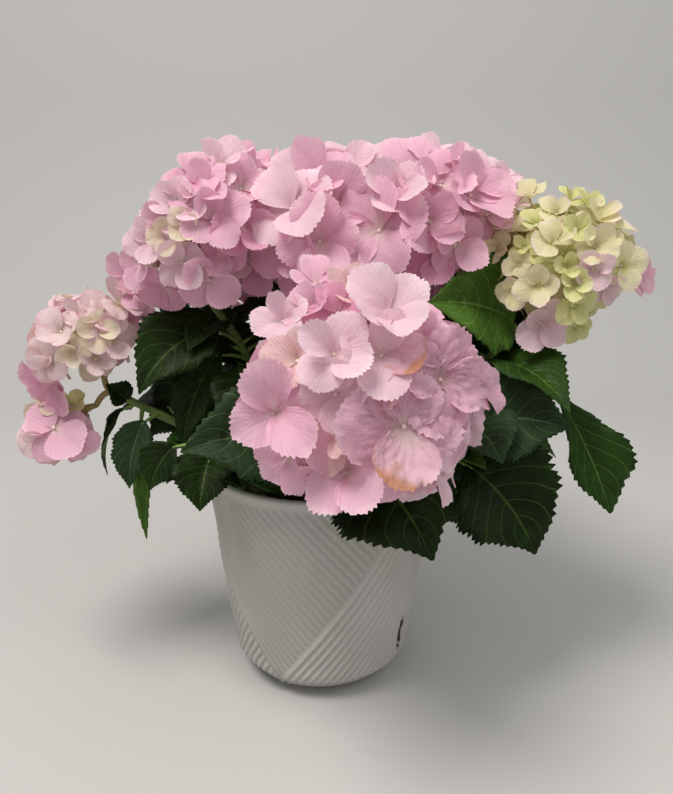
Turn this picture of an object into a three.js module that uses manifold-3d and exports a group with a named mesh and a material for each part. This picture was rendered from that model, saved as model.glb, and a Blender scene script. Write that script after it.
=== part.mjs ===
// Potted mophead hydrangea: a pale ceramic pot, its potting mix, canes, leafy shoots and flower heads.
// Millimetres, Z up, origin at the middle of the pot's flat underside, -Y towards the viewer.
import * as THREE from 'three';
import { mergeVertices } from 'three/addons/utils/BufferGeometryUtils.js';
import Module from 'manifold-3d';

const wasm = await Module();
wasm.setup();

// Clear space between neighbouring pieces
const GAP = 0.3;
// Edges shorter than this are left out of a fused body
const FINEST = 0.02;
const GOLDEN_ANGLE = Math.PI * (3 - Math.sqrt(5));
const VIEWER = new THREE.Vector3(0, -0.96, 0.29);

// Pot: a tapered vessel with a rounded foot edge and a rounded lip
const POT_HEIGHT = 156;
const POT_RIM_RADIUS = 80;
const POT_BASE_RADIUS = 60;
const POT_FOOT_ROUND = 27;
const POT_WALL = 5;
const POT_FLOOR = 8;
const POT_INNER_FOOT = 22;
const POT_SEGMENTS = 44;
const SOIL_TOP = 136;
const SOIL_SEGMENTS = 32;

// Canes and stems
const CANE_RADIUS = 3.6;
const CANE_FLARE = 1.5;
const STEM_TIP_RADIUS = 2.3;
const STEM_SIDES = 5;
const STEM_STEPS = 4;
const PETIOLE_RADIUS = 1.7;

// Leaves: blade rings from base to tip, thickness, and the angle at which the halves fold up
const LEAF_RINGS = 4;
const LEAF_THICKNESS = 1.6;
const LEAF_FOLD = 18;

// Leaf pairs: the turn from pair to pair, how a leaf stands, and how far chance moves its heading and fall.
// A leaf that isn't free is tried again, turned on by a step and a little smaller.
const PAIR_TURN = 90;
const PAIR_RISE = 30;
const PAIR_ASPECT = 0.62;
const PAIR_ARCH = 55;
const PAIR_FACING = 0.25;
const HEADING_SWAY = 24;
const FALL_SWAY = 40;
const LEAF_ATTEMPTS = 6;
const ATTEMPT_TURN = 19;
const ATTEMPT_SHRINK = 0.06;

// Flower heads: florets stand on this share of the head's radius, over a fused core
const FLORET_STAND = 0.86;
const CORE_SHARE = 0.68;
const FLORET_THICKNESS = 2;
const FLORET_CUP = 0.26;
const FLORET_NOTCH = 0.8;
const SEPAL_HALF = 25;
const FLORET_SPACING = 0.34;
const FLORET_ROOM = 0.72;
const FLORET_TILT = 22;
const PEDICEL_RADIUS = 1.3;

// Furthest reach of the whole plant
const REACH = { left: -204, right: 214, front: -168, back: 172, low: 96, top: 380 };

// Each shoot is one curve from its foot on the potting mix past a knee to its neck.
// Its cane is the lower share of it. A leaf row starts at a share of the curve, and its tip is a place.
const SHOOTS = [
  {
    name: 'front', foot: [10, -30], knee: [12, -36, 180], neck: [20, -56, 196], cane: 0.22,
    leaves: [
      { at: 0.62, tip: [-77, -90, 192], petiole: 24, rise: 5, width: 58, arch: 45, turn: 0.75 },
      { at: 0.3, tip: [70, -100, 131], petiole: 26, rise: 20, width: 50, arch: 55, turn: 0.7 },
    ],
    pairs: { count: 2, first: 0.5, last: 0.85, spin: 20, petiole: 20, length: 66, droop: 12, lowest: 176 },
  },
  {
    name: 'top', foot: [4, 6], knee: [10, 8, 200], neck: [34, 12, 249], cane: 0.24,
    leaves: [
      { at: 0.78, tip: [62, -32, 226], petiole: 18, rise: 10, width: 48, arch: 50, turn: 0.5 },
      { at: 0.66, tip: [-34, -40, 214], petiole: 20, rise: 20, width: 50, arch: 50, turn: 0.6 },
      { at: 0.88, tip: [-22, -36, 254], petiole: 16, rise: 20, width: 46, arch: 40, turn: 0.6 },
    ],
    pairs: { count: 4, first: 0.4, last: 0.9, spin: 65, petiole: 24, length: 82, droop: 20, lowest: 176 },
  },
  {
    name: 'upper_left', foot: [-20, 2], knee: [-30, 2, 205], neck: [-72, 4, 262], cane: 0.24,
    leaves: [
      { at: 0.74, tip: [-110, -46, 213], petiole: 24, rise: 40, width: 54, arch: 60, turn: 0.8 },
      { at: 0.66, tip: [-88, -36, 172], petiole: 26, rise: 25, width: 28, arch: 40, turn: 0.8 },
      { at: 0.55, tip: [-50, -64, 188], petiole: 20, rise: 30, width: 40, arch: 50, turn: 0.8 },
    ],
    pairs: { count: 4, first: 0.36, last: 0.88, spin: 130, petiole: 22, length: 76, droop: 22, lowest: 160 },
  },
  {
    name: 'left', foot: [-32, -12], knee: [-58, -12, 166], neck: [-136, -10, 203], cane: 0.22,
    leaves: [
      { at: 0.8, tip: [-129, -36, 146], petiole: 14, rise: 0, width: 27, arch: 40, turn: 0.9 },
      { at: 0.88, tip: [-122, -24, 101], petiole: 14, rise: -50, width: 17, arch: 16, turn: 1 },
      { at: 0.9, tip: [-145, -14, 146], petiole: 10, rise: -10, width: 14, arch: 50, turn: 0.2 },
      { at: 0.92, tip: [-137, -24, 213], petiole: 5, rise: 20, width: 18, arch: 20, turn: 0.8 },
    ],
    pairs: { count: 2, first: 0.45, last: 0.68, spin: 40, petiole: 18, length: 58, droop: 18, lowest: 160 },
  },
  {
    name: 'right', foot: [30, 0], knee: [60, -6, 180], neck: [128, -12, 246], cane: 0.22,
    leaves: [
      { at: 0.88, tip: [72, -46, 283], petiole: 10, rise: 30, width: 54, arch: 30, turn: 0.85 },
      { at: 0.8, tip: [187, -44, 132], petiole: 50, rise: -8, width: 52, arch: 14, turn: 0.8 },
      { at: 0.7, tip: [152, -44, 208], petiole: 16, rise: 30, width: 42, arch: 50, turn: 0.5 },
      { at: 0.95, tip: [187, 22, 276], petiole: 22, rise: 20, width: 34, arch: 30, turn: 0.6 },
      { at: 0.82, tip: [70, -6, 290], petiole: 12, rise: 50, width: 40, arch: 30, turn: 0.7 },
    ],
    pairs: { count: 3, first: 0.42, last: 0.78, spin: 85, petiole: 22, length: 78, droop: 22, lowest: 150 },
  },
  {
    name: 'back_left', foot: [-14, 30], knee: [-20, 45, 200], neck: [-50, 78, 244], cane: 0.24,
    leaves: [],
    pairs: { count: 4, first: 0.36, last: 0.9, spin: 20, petiole: 24, length: 86, droop: 28, lowest: 120 },
  },
  {
    name: 'back_right', foot: [20, 30], knee: [28, 50, 190], neck: [64, 94, 222], cane: 0.24,
    leaves: [],
    pairs: { count: 4, first: 0.36, last: 0.9, spin: 10, petiole: 24, length: 86, droop: 28, lowest: 120 },
  },
  {
    name: 'right_low', foot: [38, -22], knee: [55, -32, 165], neck: [92, -50, 194], cane: 0.24,
    leaves: [
      { at: 0.66, tip: [136, -72, 118], petiole: 26, rise: 0, width: 62, arch: 45, turn: 0.85 },
      { at: 0.9, tip: [150, -62, 192], petiole: 10, rise: 40, width: 50, arch: 50, turn: 0.6 },
      { at: 0.98, tip: [104, -92, 186], petiole: 8, rise: 30, width: 40, arch: 40, turn: 0.6 },
    ],
    pairs: { count: 2, first: 0.5, last: 0.82, spin: 60, petiole: 16, length: 62, droop: 12, lowest: 160 },
  },
  {
    name: 'left_low', foot: [-40, -34], knee: [-55, -44, 160], neck: [-80, -48, 185], cane: 0.24,
    leaves: [
      { at: 0.9, tip: [-106, -52, 152], petiole: 14, rise: 5, width: 26, arch: 40, turn: 0.9 },
      { at: 0.7, tip: [-66, -82, 155], petiole: 12, rise: 20, width: 24, arch: 50, turn: 0.5 },
    ],
    pairs: { count: 2, first: 0.5, last: 0.86, spin: 100, petiole: 14, length: 50, droop: 8, lowest: 172 },
  },
  {
    name: 'back_low', foot: [0, 46], knee: [0, 66, 170], neck: [-6, 108, 192], cane: 0.24,
    leaves: [],
    pairs: { count: 3, first: 0.4, last: 0.95, spin: 60, petiole: 20, length: 78, droop: 28, lowest: 110 },
  },
];

// Each head sits on its shoot's neck and has one or two clusters. A cluster's florets fill it out to its
// spread from the axis (azimuth, elevation). A shown row is a floret that faces the viewer: how far right
// of the centre and above it the floret stands, and how wide it is.
const HEADS = [
  {
    name: 'front', colour: 0xe3b4c8,
    clusters: [{
      centre: [25, -95, 223], radii: [73, 71, 72], axis: [-85, 35], spread: 118, width: 48,
      shown: [[11, 48, 44], [-20, 40, 38], [18, 2, 58], [44, 26, 44], [-44, 8, 46], [-15, 10, 32],
        [-36, -24, 36], [-6, -34, 46]],
    }],
  },
  {
    name: 'top', colour: 0xe3b4c8,
    clusters: [
      {
        centre: [64, 18, 298], radii: [60, 68, 66], axis: [-70, 65], spread: 110, width: 52,
        shown: [[-22, 6, 58], [4, 34, 50], [20, 8, 46], [-38, 42, 46]],
      },
      {
        centre: [-2, 20, 304], radii: [56, 62, 60], axis: [-100, 65], spread: 105, width: 50,
        shown: [[2, -4, 50], [-22, 18, 52], [12, 34, 46], [-32, -12, 44]],
      },
    ],
  },
  {
    name: 'upper_left', colour: 0xe7bdce,
    clusters: [{
      centre: [-76, 0, 307], radii: [55, 56, 56], axis: [260, 70], spread: 120, width: 42,
      shown: [[9, -29, 38], [12, 16, 40], [-33, -6, 36], [-16, 20, 34], [30, -6, 36], [-30, -34, 34]],
    }],
  },
  {
    name: 'left', colour: 0xe6c3cd,
    clusters: [
      {
        centre: [-153, -10, 238], radii: [37, 34, 34], axis: [190, 65], spread: 100, width: 32,
        shown: [[-4, 10, 30], [-24, -6, 28], [20, 10, 30]],
      },
      {
        centre: [-172, -14, 180], radii: [25, 25, 22], axis: [200, -25], spread: 100, width: 30,
        shown: [[4, -2, 40]],
      },
    ],
  },
  {
    name: 'right', colour: 0xd9d8a4,
    clusters: [{
      centre: [150, -10, 285], radii: [53, 52, 52], axis: [-30, 50], spread: 116, width: 35,
      shown: [[-32, 18, 28], [-12, 22, 28], [-26, -8, 30], [-12, -33, 34], [4, 4, 30], [30, 2, 32]],
    }],
  },
  {
    name: 'back_left', colour: 0xe3b4c8,
    clusters: [{
      centre: [-60, 100, 284], radii: [61, 60, 58], axis: [110, 55], spread: 112, width: 50,
      shown: [],
    }],
  },
  {
    name: 'back_right', colour: 0xe3b4c8,
    clusters: [{
      centre: [78, 116, 262], radii: [60, 58, 56], axis: [55, 50], spread: 112, width: 50,
      shown: [],
    }],
  },
];

/** A repeatable number from 0 to 1 for a whole-number seed. */
function chance(seed) {
  const wave = Math.sin(seed * 12.9898) * 43758.5453;
  return wave - Math.floor(wave);
}

/** A unit vector from an azimuth and an elevation in degrees. */
function direction(azimuth, elevation) {
  const flat = Math.cos(THREE.MathUtils.degToRad(elevation));
  const turn = THREE.MathUtils.degToRad(azimuth);
  const rise = Math.sin(THREE.MathUtils.degToRad(elevation));
  return new THREE.Vector3(flat * Math.cos(turn), flat * Math.sin(turn), rise);
}

/** Two unit vectors square to the given one, in a right-handed order with it in the middle. */
function across(middle) {
  const helper = Math.abs(middle.z) > 0.9 ? new THREE.Vector3(1, 0, 0) : new THREE.Vector3(0, 0, 1);
  const first = new THREE.Vector3().crossVectors(helper, middle).normalize();
  const last = new THREE.Vector3().crossVectors(first, middle);
  return [first, last];
}

/** Moves each vertex of a geometry by a rule that gets the vertex and returns its new place. */
function reshape(geometry, rule) {
  const position = geometry.attributes.position;
  for (let i = 0; i < position.count; i += 1) {
    const place = rule(new THREE.Vector3().fromBufferAttribute(position, i));
    position.setXYZ(i, place.x, place.y, place.z);
  }
  return geometry;
}

/** Turns a closed geometry into a solid for joining and cutting. */
function toSolid(geometry) {
  geometry.deleteAttribute('normal');
  geometry.deleteAttribute('uv');
  const merged = mergeVertices(geometry);
  const vertProperties = new Float32Array(merged.attributes.position.array);
  const triVerts = new Uint32Array(merged.index.array);
  return new wasm.Manifold(new wasm.Mesh({ numProp: 3, vertProperties, triVerts }));
}

/** Turns a solid back into a geometry. */
function toGeometry(solid) {
  const mesh = solid.getMesh();
  const geometry = new THREE.BufferGeometry();
  geometry.setAttribute('position', new THREE.BufferAttribute(mesh.vertProperties, 3));
  geometry.setIndex(new THREE.BufferAttribute(mesh.triVerts, 1));
  geometry.computeVertexNormals();
  return geometry;
}

/** Fuses solids into one body, without loose scraps and with sealed hollows filled. */
function fuse(solids) {
  const bodies = wasm.Manifold.union(solids).simplify(FINEST).decompose();
  return bodies.reduce((largest, body) => (body.volume() > largest.volume() ? body : largest));
}

/** Tells whether two solids share any space. */
function meets(one, other) {
  const a = one.boundingBox();
  const b = other.boundingBox();
  const apart = [0, 1, 2].some((axis) => a.min[axis] > b.max[axis] || b.min[axis] > a.max[axis]);
  return !apart && !one.intersect(other).isEmpty();
}

/** A limb along a curve that lies in one plane. With a flare its foot widens and ends in a level cut. */
function limb(curve, startRadius, endRadius, sides, steps, flare = 1) {
  const geometry = new THREE.CylinderGeometry(1, 1, 1, sides, steps);
  const [start, middle, end] = [0, 0.5, 1].map((share) => curve.getPoint(share));
  const plane = new THREE.Vector3().crossVectors(middle.clone().sub(start), end.clone().sub(middle));
  reshape(geometry, (vertex) => {
    const share = vertex.y + 0.5;
    const tangent = curve.getTangent(share);
    const side = plane.length() > 1e-3 ? plane.clone().normalize() : across(tangent)[0];
    const other = new THREE.Vector3().crossVectors(side, tangent);
    const widening = 1 + (flare - 1) * (1 - share) ** 6;
    const radius = THREE.MathUtils.lerp(startRadius, endRadius, share) * widening;
    const centre = curve.getPoint(share);
    const place = centre.clone()
      .addScaledVector(side, vertex.x * radius)
      .addScaledVector(other, vertex.z * radius);
    return flare > 1 && share < 1e-6 ? place.setZ(centre.z) : place;
  });
  return toSolid(geometry);
}

/** A curve that is the stretch of another from one share to another. */
function stretch(curve, from, to) {
  const [p0, p1, p2] = [curve.v0, curve.v1, curve.v2];
  const blend = (a, b) => p0.clone().multiplyScalar((1 - a) * (1 - b))
    .addScaledVector(p1, a * (1 - b) + b * (1 - a)).addScaledVector(p2, a * b);
  return new THREE.QuadraticBezierCurve3(blend(from, from), blend(from, to), blend(to, to));
}

/** The whole curve of a shoot. */
function shootCurve(shoot) {
  const foot = new THREE.Vector3(...shoot.foot, SOIL_TOP + GAP);
  const knee = new THREE.Vector3(...shoot.knee);
  return new THREE.QuadraticBezierCurve3(foot, knee, new THREE.Vector3(...shoot.neck));
}

/** The radius of a shoot's limb at a share of its curve. */
function limbRadius(share) {
  return THREE.MathUtils.lerp(CANE_RADIUS, STEM_TIP_RADIUS, share);
}

/** The bend, heading and size of a leaf blade between its base and its tip. */
function bladePath(base, tip, archDegrees, turn) {
  const chord = tip.clone().sub(base);
  const heading = Math.atan2(chord.y, chord.x);
  const pitch = Math.asin(chord.z / chord.length());
  const arch = THREE.MathUtils.degToRad(archDegrees);
  const length = (chord.length() * (arch / 2)) / Math.sin(arch / 2);
  const across0 = new THREE.Vector3(-Math.sin(heading), Math.cos(heading), 0);
  const normalAt = (slope) => new THREE.Vector3(
    -Math.sin(slope) * Math.cos(heading), -Math.sin(slope) * Math.sin(heading), Math.cos(slope));
  const roll = turn * Math.atan2(-VIEWER.dot(across0), VIEWER.dot(normalAt(pitch)));
  return (share) => {
    const slope = pitch + arch * (0.5 - share);
    const first = pitch + arch / 2;
    const forward = (length / arch) * (Math.sin(first) - Math.sin(slope));
    const lift = (length / arch) * (Math.cos(slope) - Math.cos(first));
    const normal0 = normalAt(slope);
    const side = across0.clone().multiplyScalar(Math.cos(roll)).addScaledVector(normal0, Math.sin(roll));
    const normal = normal0.multiplyScalar(Math.cos(roll)).addScaledVector(across0, -Math.sin(roll));
    const middle = base.clone().add(new THREE.Vector3(
      forward * Math.cos(heading), forward * Math.sin(heading), lift));
    return { middle, side, normal };
  };
}

/** A broad, pointed leaf blade, folded up a little along its midrib. */
function blade(base, leaf, grow = 0) {
  const path = bladePath(base, leaf.tip, leaf.arch, leaf.turn);
  const geometry = new THREE.SphereGeometry(1, 4, LEAF_RINGS);
  const fold = Math.tan(THREE.MathUtils.degToRad(LEAF_FOLD));
  reshape(geometry, (vertex) => {
    const share = Math.acos(THREE.MathUtils.clamp(vertex.y, -1, 1)) / Math.PI;
    const ring = Math.hypot(vertex.x, vertex.z);
    const across1 = ring > 1e-6 ? vertex.x / ring : 0;
    const through = ring > 1e-6 ? vertex.z / ring : 0;
    const halfWidth = (leaf.width / 2) * Math.sin(Math.PI * share ** 0.75) + grow;
    const { middle, side, normal } = path(share);
    const height = through * (LEAF_THICKNESS / 2 + grow) + Math.abs(across1) * halfWidth * fold;
    return middle.addScaledVector(side, across1 * halfWidth).addScaledVector(normal, height);
  });
  return toSolid(geometry);
}

/** A four-lobed, slightly cupped floret about a centre, facing along its normal. */
function floret(centre, normal, spin, width, grow = 0) {
  const [first, last] = across(normal);
  const radius = width / 2;
  const geometry = new THREE.SphereGeometry(1, 12, 2);
  reshape(geometry, (vertex) => {
    if (Math.abs(vertex.y) > 0.5) {
      return centre.clone().addScaledVector(normal, Math.sign(vertex.y) * (FLORET_THICKNESS / 2 + grow));
    }
    const point = Math.round((6 * Math.atan2(vertex.z, vertex.x)) / Math.PI) + 12;
    const step = point % 3;
    const angle = spin + THREE.MathUtils.degToRad(30 * (point - step) + [-45, -SEPAL_HALF, SEPAL_HALF][step]);
    const reach = radius * (step === 0 ? FLORET_NOTCH : 1) + grow;
    return centre.clone()
      .addScaledVector(first, reach * Math.cos(angle))
      .addScaledVector(last, reach * Math.sin(angle))
      .addScaledVector(normal, reach * FLORET_CUP);
  });
  return toSolid(geometry);
}

// Every node's solids so far, so that a new leaf or floret can be set clear of all other nodes
const placed = new Map();
// The blades of each shoot, so that its own leaves don't run through one another
const blades = new Map();

/** Adds solids to a node. */
function keep(node, ...solids) {
  placed.set(node, [...(placed.get(node) ?? []), ...solids]);
}

/** Tells whether a solid is clear of every solid of the other nodes. */
function isClear(node, solid) {
  return [...placed].every(([name, solids]) => name === node || !solids.some((other) => meets(solid, other)));
}

/** Tells whether a place is within the plant's reach. */
function isWithinReach(place) {
  const lowest = new THREE.Vector3(REACH.left, REACH.front, REACH.low);
  const highest = new THREE.Vector3(REACH.right, REACH.back, REACH.top);
  return new THREE.Box3(lowest, highest).containsPoint(place);
}

/** A body turned about the Z axis from a profile of radii and heights. */
function turned(profile, segments) {
  const points = profile.map(([radius, height]) => new THREE.Vector2(radius, height));
  return toSolid(new THREE.LatheGeometry(points, segments).rotateX(Math.PI / 2));
}

/** The outer radius of the pot at a height above its rounded foot. */
function potRadius(height) {
  return THREE.MathUtils.lerp(POT_BASE_RADIUS, POT_RIM_RADIUS, height / POT_HEIGHT);
}

/** The inner radius of the pot at a height above its floor's rounded edge. */
function potInnerRadius(height) {
  return potRadius(height) - POT_WALL;
}

/** The pot, from the middle of its underside out over the rounded foot and the lip and in to its floor. */
function buildPot() {
  const round = POT_FOOT_ROUND;
  const foot = [0, 22.5, 45, 67.5].map((angle) => {
    const turn = THREE.MathUtils.degToRad(angle);
    return [potRadius(round) - round + round * Math.sin(turn), round * (1 - Math.cos(turn))];
  });
  const lip = POT_WALL / 2;
  keep('pot', turned([
    [0, 0],
    ...foot,
    [potRadius(round), round],
    [potRadius(POT_HEIGHT - lip), POT_HEIGHT - lip],
    [POT_RIM_RADIUS - lip * 0.3, POT_HEIGHT - lip * 0.3],
    [POT_RIM_RADIUS - lip, POT_HEIGHT],
    [POT_RIM_RADIUS - lip * 1.7, POT_HEIGHT - lip * 0.3],
    [potInnerRadius(POT_HEIGHT - lip), POT_HEIGHT - lip],
    [potInnerRadius(POT_INNER_FOOT), POT_INNER_FOOT],
    [potInnerRadius(POT_INNER_FOOT) - round / 2, POT_FLOOR],
    [0, POT_FLOOR],
  ], POT_SEGMENTS));
}

/** The potting mix, a little clear of the pot's wall and floor. */
function buildSoil() {
  const clear = 2 * GAP;
  keep('soil', turned([
    [0, POT_FLOOR + GAP],
    [potInnerRadius(POT_INNER_FOOT) - POT_FOOT_ROUND / 2 - clear, POT_FLOOR + GAP],
    [potInnerRadius(POT_INNER_FOOT) - clear, POT_INNER_FOOT],
    [potInnerRadius(SOIL_TOP) - clear, SOIL_TOP],
    [0, SOIL_TOP],
  ], SOIL_SEGMENTS));
}

/** The cane of a shoot and the stem of its leafy part, a small gap apart. */
function buildLimbs(shoot) {
  const curve = shootCurve(shoot);
  const gapShare = GAP / curve.getLength();
  const split = shoot.cane;
  const cane = stretch(curve, 0, split - 1.5 * gapShare);
  const stem = stretch(curve, split, 1);
  const splitRadius = limbRadius(split);
  keep(`cane_${shoot.name}`, limb(cane, limbRadius(0), splitRadius, STEM_SIDES, STEM_STEPS, CANE_FLARE));
  keep(`shoot_${shoot.name}`, limb(stem, splitRadius, limbRadius(1), STEM_SIDES, STEM_STEPS));
}

/** One leaf with its petiole, left out where it would meet another piece or leave the plant's reach. */
function addLeaf(shoot, leaf) {
  const node = `shoot_${shoot.name}`;
  const start = shootCurve(shoot).getPoint(leaf.at);
  const heading = THREE.MathUtils.radToDeg(Math.atan2(leaf.tip.y - start.y, leaf.tip.x - start.x));
  const base = start.clone().addScaledVector(direction(heading, leaf.rise), leaf.petiole);
  const into = bladePath(base, leaf.tip, leaf.arch, leaf.turn)(0.07).middle;
  const bend = start.clone().add(base).multiplyScalar(0.5).add(new THREE.Vector3(0, 0, leaf.petiole * 0.08));
  const way = new THREE.QuadraticBezierCurve3(start, bend, into);
  const petiole = limb(way, PETIOLE_RADIUS, PETIOLE_RADIUS * 0.6, 3, 2);
  const isFree = isWithinReach(leaf.tip) && isClear(node, blade(base, leaf, GAP)) && isClear(node, petiole);
  const body = blade(base, leaf);
  const crosses = blades.get(node)?.some((other) => meets(body, other));
  if (!isFree || crosses) {
    return false;
  }
  blades.set(node, [...(blades.get(node) ?? []), body]);
  keep(node, petiole, body);
  return true;
}

/** The leaf pairs of a shoot, which stand crosswise up its stem. */
function addPairs(shoot, seed) {
  const { count, first, last, spin, petiole, length, droop, lowest } = shoot.pairs;
  const curve = shootCurve(shoot);
  for (let i = 0; i < count * 2; i += 1) {
    const pair = Math.floor(i / 2);
    const at = THREE.MathUtils.lerp(first, last, pair / Math.max(1, count - 1));
    for (let attempt = 0; attempt < LEAF_ATTEMPTS; attempt += 1) {
      const number = seed + i + 10 * attempt;
      const side = spin + PAIR_TURN * pair + 180 * (i % 2);
      const heading = side + attempt * ATTEMPT_TURN + HEADING_SWAY * (chance(number) - 0.5);
      const size = length * (0.85 + 0.3 * chance(number + 50)) * (1 - ATTEMPT_SHRINK * attempt);
      const fall = droop + FALL_SWAY * (chance(number + 90) - 0.5);
      const base = curve.getPoint(at).addScaledVector(direction(heading, PAIR_RISE), petiole);
      const tip = base.addScaledVector(direction(heading, -fall), size);
      const shape = { width: size * PAIR_ASPECT, arch: PAIR_ARCH, turn: PAIR_FACING };
      const leaf = { at, tip, petiole, rise: PAIR_RISE, ...shape };
      if (tip.z > lowest && addLeaf(shoot, leaf)) {
        break;
      }
    }
  }
}

/** Where a cluster's florets stand: the shown ones, then an even spread over the rest of it. */
function floretPlaces(cluster, seed) {
  const [rx, ry, rz] = cluster.radii.map((radius) => radius * FLORET_STAND);
  const shown = cluster.shown.map(([right, up, width]) => {
    const depth = Math.sqrt(Math.max(0, 1 - (right / rx) ** 2 - (up / rz) ** 2));
    return { out: new THREE.Vector3(right / rx, -depth, up / rz).normalize(), width, shown: true };
  });
  const axis = direction(...cluster.axis);
  const [first, last] = across(axis);
  const low = Math.cos(THREE.MathUtils.degToRad(cluster.spread));
  const area = 2 * Math.PI * rx * ry * (1 - low);
  const total = Math.round(area / (FLORET_ROOM * cluster.width ** 2));
  const spread = [];
  for (let i = 0; i < total; i += 1) {
    const height = 1 - (i / (total - 0.5)) * (1 - low);
    const ring = Math.sqrt(1 - height * height);
    const angle = i * GOLDEN_ANGLE + seed;
    const out = axis.clone().multiplyScalar(height)
      .addScaledVector(first, ring * Math.cos(angle)).addScaledVector(last, ring * Math.sin(angle));
    spread.push({ out, width: cluster.width * (0.86 + 0.28 * chance(seed + i)), shown: false });
  }
  const hasRoom = (place) => shown.every((other) => {
    const away = place.out.distanceTo(other.out) * Math.min(rx, rz);
    return away > FLORET_SPACING * (place.width + other.width);
  });
  return [...shown, ...spread.filter(hasRoom)];
}

/** Tells whether a place lies within another cluster than the given one. */
function isInOtherCluster(place, cluster) {
  return HEADS.flatMap((head) => head.clusters).filter((other) => other !== cluster).some((other) => {
    const offset = place.clone().sub(new THREE.Vector3(...other.centre));
    return offset.divide(new THREE.Vector3(...other.radii)).length() < FLORET_STAND * 0.95;
  });
}

/** The core of a cluster, with a ray up to it from the head's neck. */
function addCore(node, shoot, cluster) {
  const whole = shootCurve(shoot);
  const tangent = whole.getTangent(1);
  const start = whole.getPoint(1).addScaledVector(tangent, GAP * 1.5);
  const centre = new THREE.Vector3(...cluster.centre);
  const bend = start.clone().addScaledVector(tangent, start.distanceTo(centre) * 0.4);
  const radii = new THREE.Vector3(...cluster.radii);
  const core = new THREE.IcosahedronGeometry(1, 1);
  core.scale(...radii.multiplyScalar(CORE_SHARE)).translate(...centre);
  const ray = limb(
    new THREE.QuadraticBezierCurve3(start, bend, centre), limbRadius(1), limbRadius(1), STEM_SIDES, 3);
  keep(node, ray, toSolid(core));
}

/** The shown or the other florets of a cluster on pedicels, left out where they would meet another piece. */
function addFlorets(node, cluster, seed, shown) {
  const centre = new THREE.Vector3(...cluster.centre);
  const radii = new THREE.Vector3(...cluster.radii);
  floretPlaces(cluster, seed).filter((place) => place.shown === shown).forEach((place, i) => {
    const stand = FLORET_STAND * (place.shown ? 1 : 0.93 + 0.1 * chance(seed + i + 200));
    const seat = centre.clone().add(place.out.clone().multiply(radii).multiplyScalar(stand));
    const tilt = THREE.MathUtils.degToRad(FLORET_TILT) * (place.shown ? 0.5 : 1);
    const [first, last] = across(place.out);
    const normal = place.out.clone()
      .addScaledVector(first, tilt * (2 * chance(seed + i + 300) - 1))
      .addScaledVector(last, tilt * (2 * chance(seed + i + 400) - 1))
      .normalize();
    const spin = 2 * Math.PI * chance(seed + i + 500);
    const foot = centre.clone().lerp(seat, CORE_SHARE * 0.9);
    const pedicel = limb(new THREE.LineCurve3(foot, seat), PEDICEL_RADIUS, PEDICEL_RADIUS, 3, 1);
    const tester = floret(seat, normal, spin, place.width, GAP);
    const isFree = isWithinReach(seat) && !isInOtherCluster(seat, cluster);
    if (isFree && isClear(node, tester) && isClear(node, pedicel)) {
      keep(node, pedicel, floret(seat, normal, spin, place.width));
    }
  });
}

/** The named mesh of a node, with its colour and finish. */
function toMesh(node, colour, roughness) {
  const material = new THREE.MeshStandardMaterial({ color: colour, roughness, metalness: 0 });
  const mesh = new THREE.Mesh(toGeometry(fuse(placed.get(node))), material);
  mesh.name = node;
  return mesh;
}

/** Runs a step for each cluster of each head, with its node's name, its seed and the shoot under it. */
function forEachCluster(step) {
  HEADS.forEach((head, i) => {
    const shoot = SHOOTS.find((row) => row.name === head.name);
    head.clusters.forEach((cluster, j) => step(`head_${head.name}`, cluster, 1 + 10 * i + j, shoot));
  });
}

// What shows in front comes first, and what comes later keeps clear of it
buildPot();
buildSoil();
SHOOTS.forEach(buildLimbs);
forEachCluster((node, cluster, seed, shoot) => addCore(node, shoot, cluster));
forEachCluster((node, cluster, seed) => addFlorets(node, cluster, seed, true));
SHOOTS.forEach((shoot) => {
  shoot.leaves.forEach((leaf) => addLeaf(shoot, { ...leaf, tip: new THREE.Vector3(...leaf.tip) }));
});
forEachCluster((node, cluster, seed) => addFlorets(node, cluster, seed, false));
SHOOTS.forEach((shoot, i) => addPairs(shoot, 1000 + 100 * i));

const plant = new THREE.Group();
plant.add(toMesh('pot', 0xe8e6e3, 0.6));
plant.add(toMesh('soil', 0x4a3627, 0.95));
SHOOTS.forEach((shoot) => {
  plant.add(toMesh(`cane_${shoot.name}`, 0x77804a, 0.7));
  plant.add(toMesh(`shoot_${shoot.name}`, 0x33552a, 0.55));
});
HEADS.forEach((head) => plant.add(toMesh(`head_${head.name}`, head.colour, 0.7)));

export default plant;
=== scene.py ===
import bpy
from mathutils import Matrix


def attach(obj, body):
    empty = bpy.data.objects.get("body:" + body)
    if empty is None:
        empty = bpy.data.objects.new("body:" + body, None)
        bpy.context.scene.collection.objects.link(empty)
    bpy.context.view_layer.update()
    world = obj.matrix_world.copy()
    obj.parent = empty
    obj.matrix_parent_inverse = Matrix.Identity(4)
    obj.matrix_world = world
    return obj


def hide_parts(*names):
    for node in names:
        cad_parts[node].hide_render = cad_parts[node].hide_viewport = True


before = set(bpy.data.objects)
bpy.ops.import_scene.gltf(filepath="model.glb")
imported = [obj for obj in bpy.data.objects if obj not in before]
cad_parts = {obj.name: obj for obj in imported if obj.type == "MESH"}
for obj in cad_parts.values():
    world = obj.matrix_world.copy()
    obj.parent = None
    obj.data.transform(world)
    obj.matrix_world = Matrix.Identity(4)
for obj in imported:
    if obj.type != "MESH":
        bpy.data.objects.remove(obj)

"""A potted mophead hydrangea: a ribbed ceramic pot, its potting mix, canes, leaves and flower heads."""

import logging
import math
from collections.abc import Callable
from dataclasses import dataclass, field
from enum import Enum
from functools import partial

import bmesh
import bpy
import numpy as np
from mathutils import Vector, noise

LOG = logging.getLogger("hydrangea")
MM = 0.001
GOLDEN_ANGLE = math.pi * (3 - math.sqrt(5))
UP = np.array((0.0, 0.0, 1.0))
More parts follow.
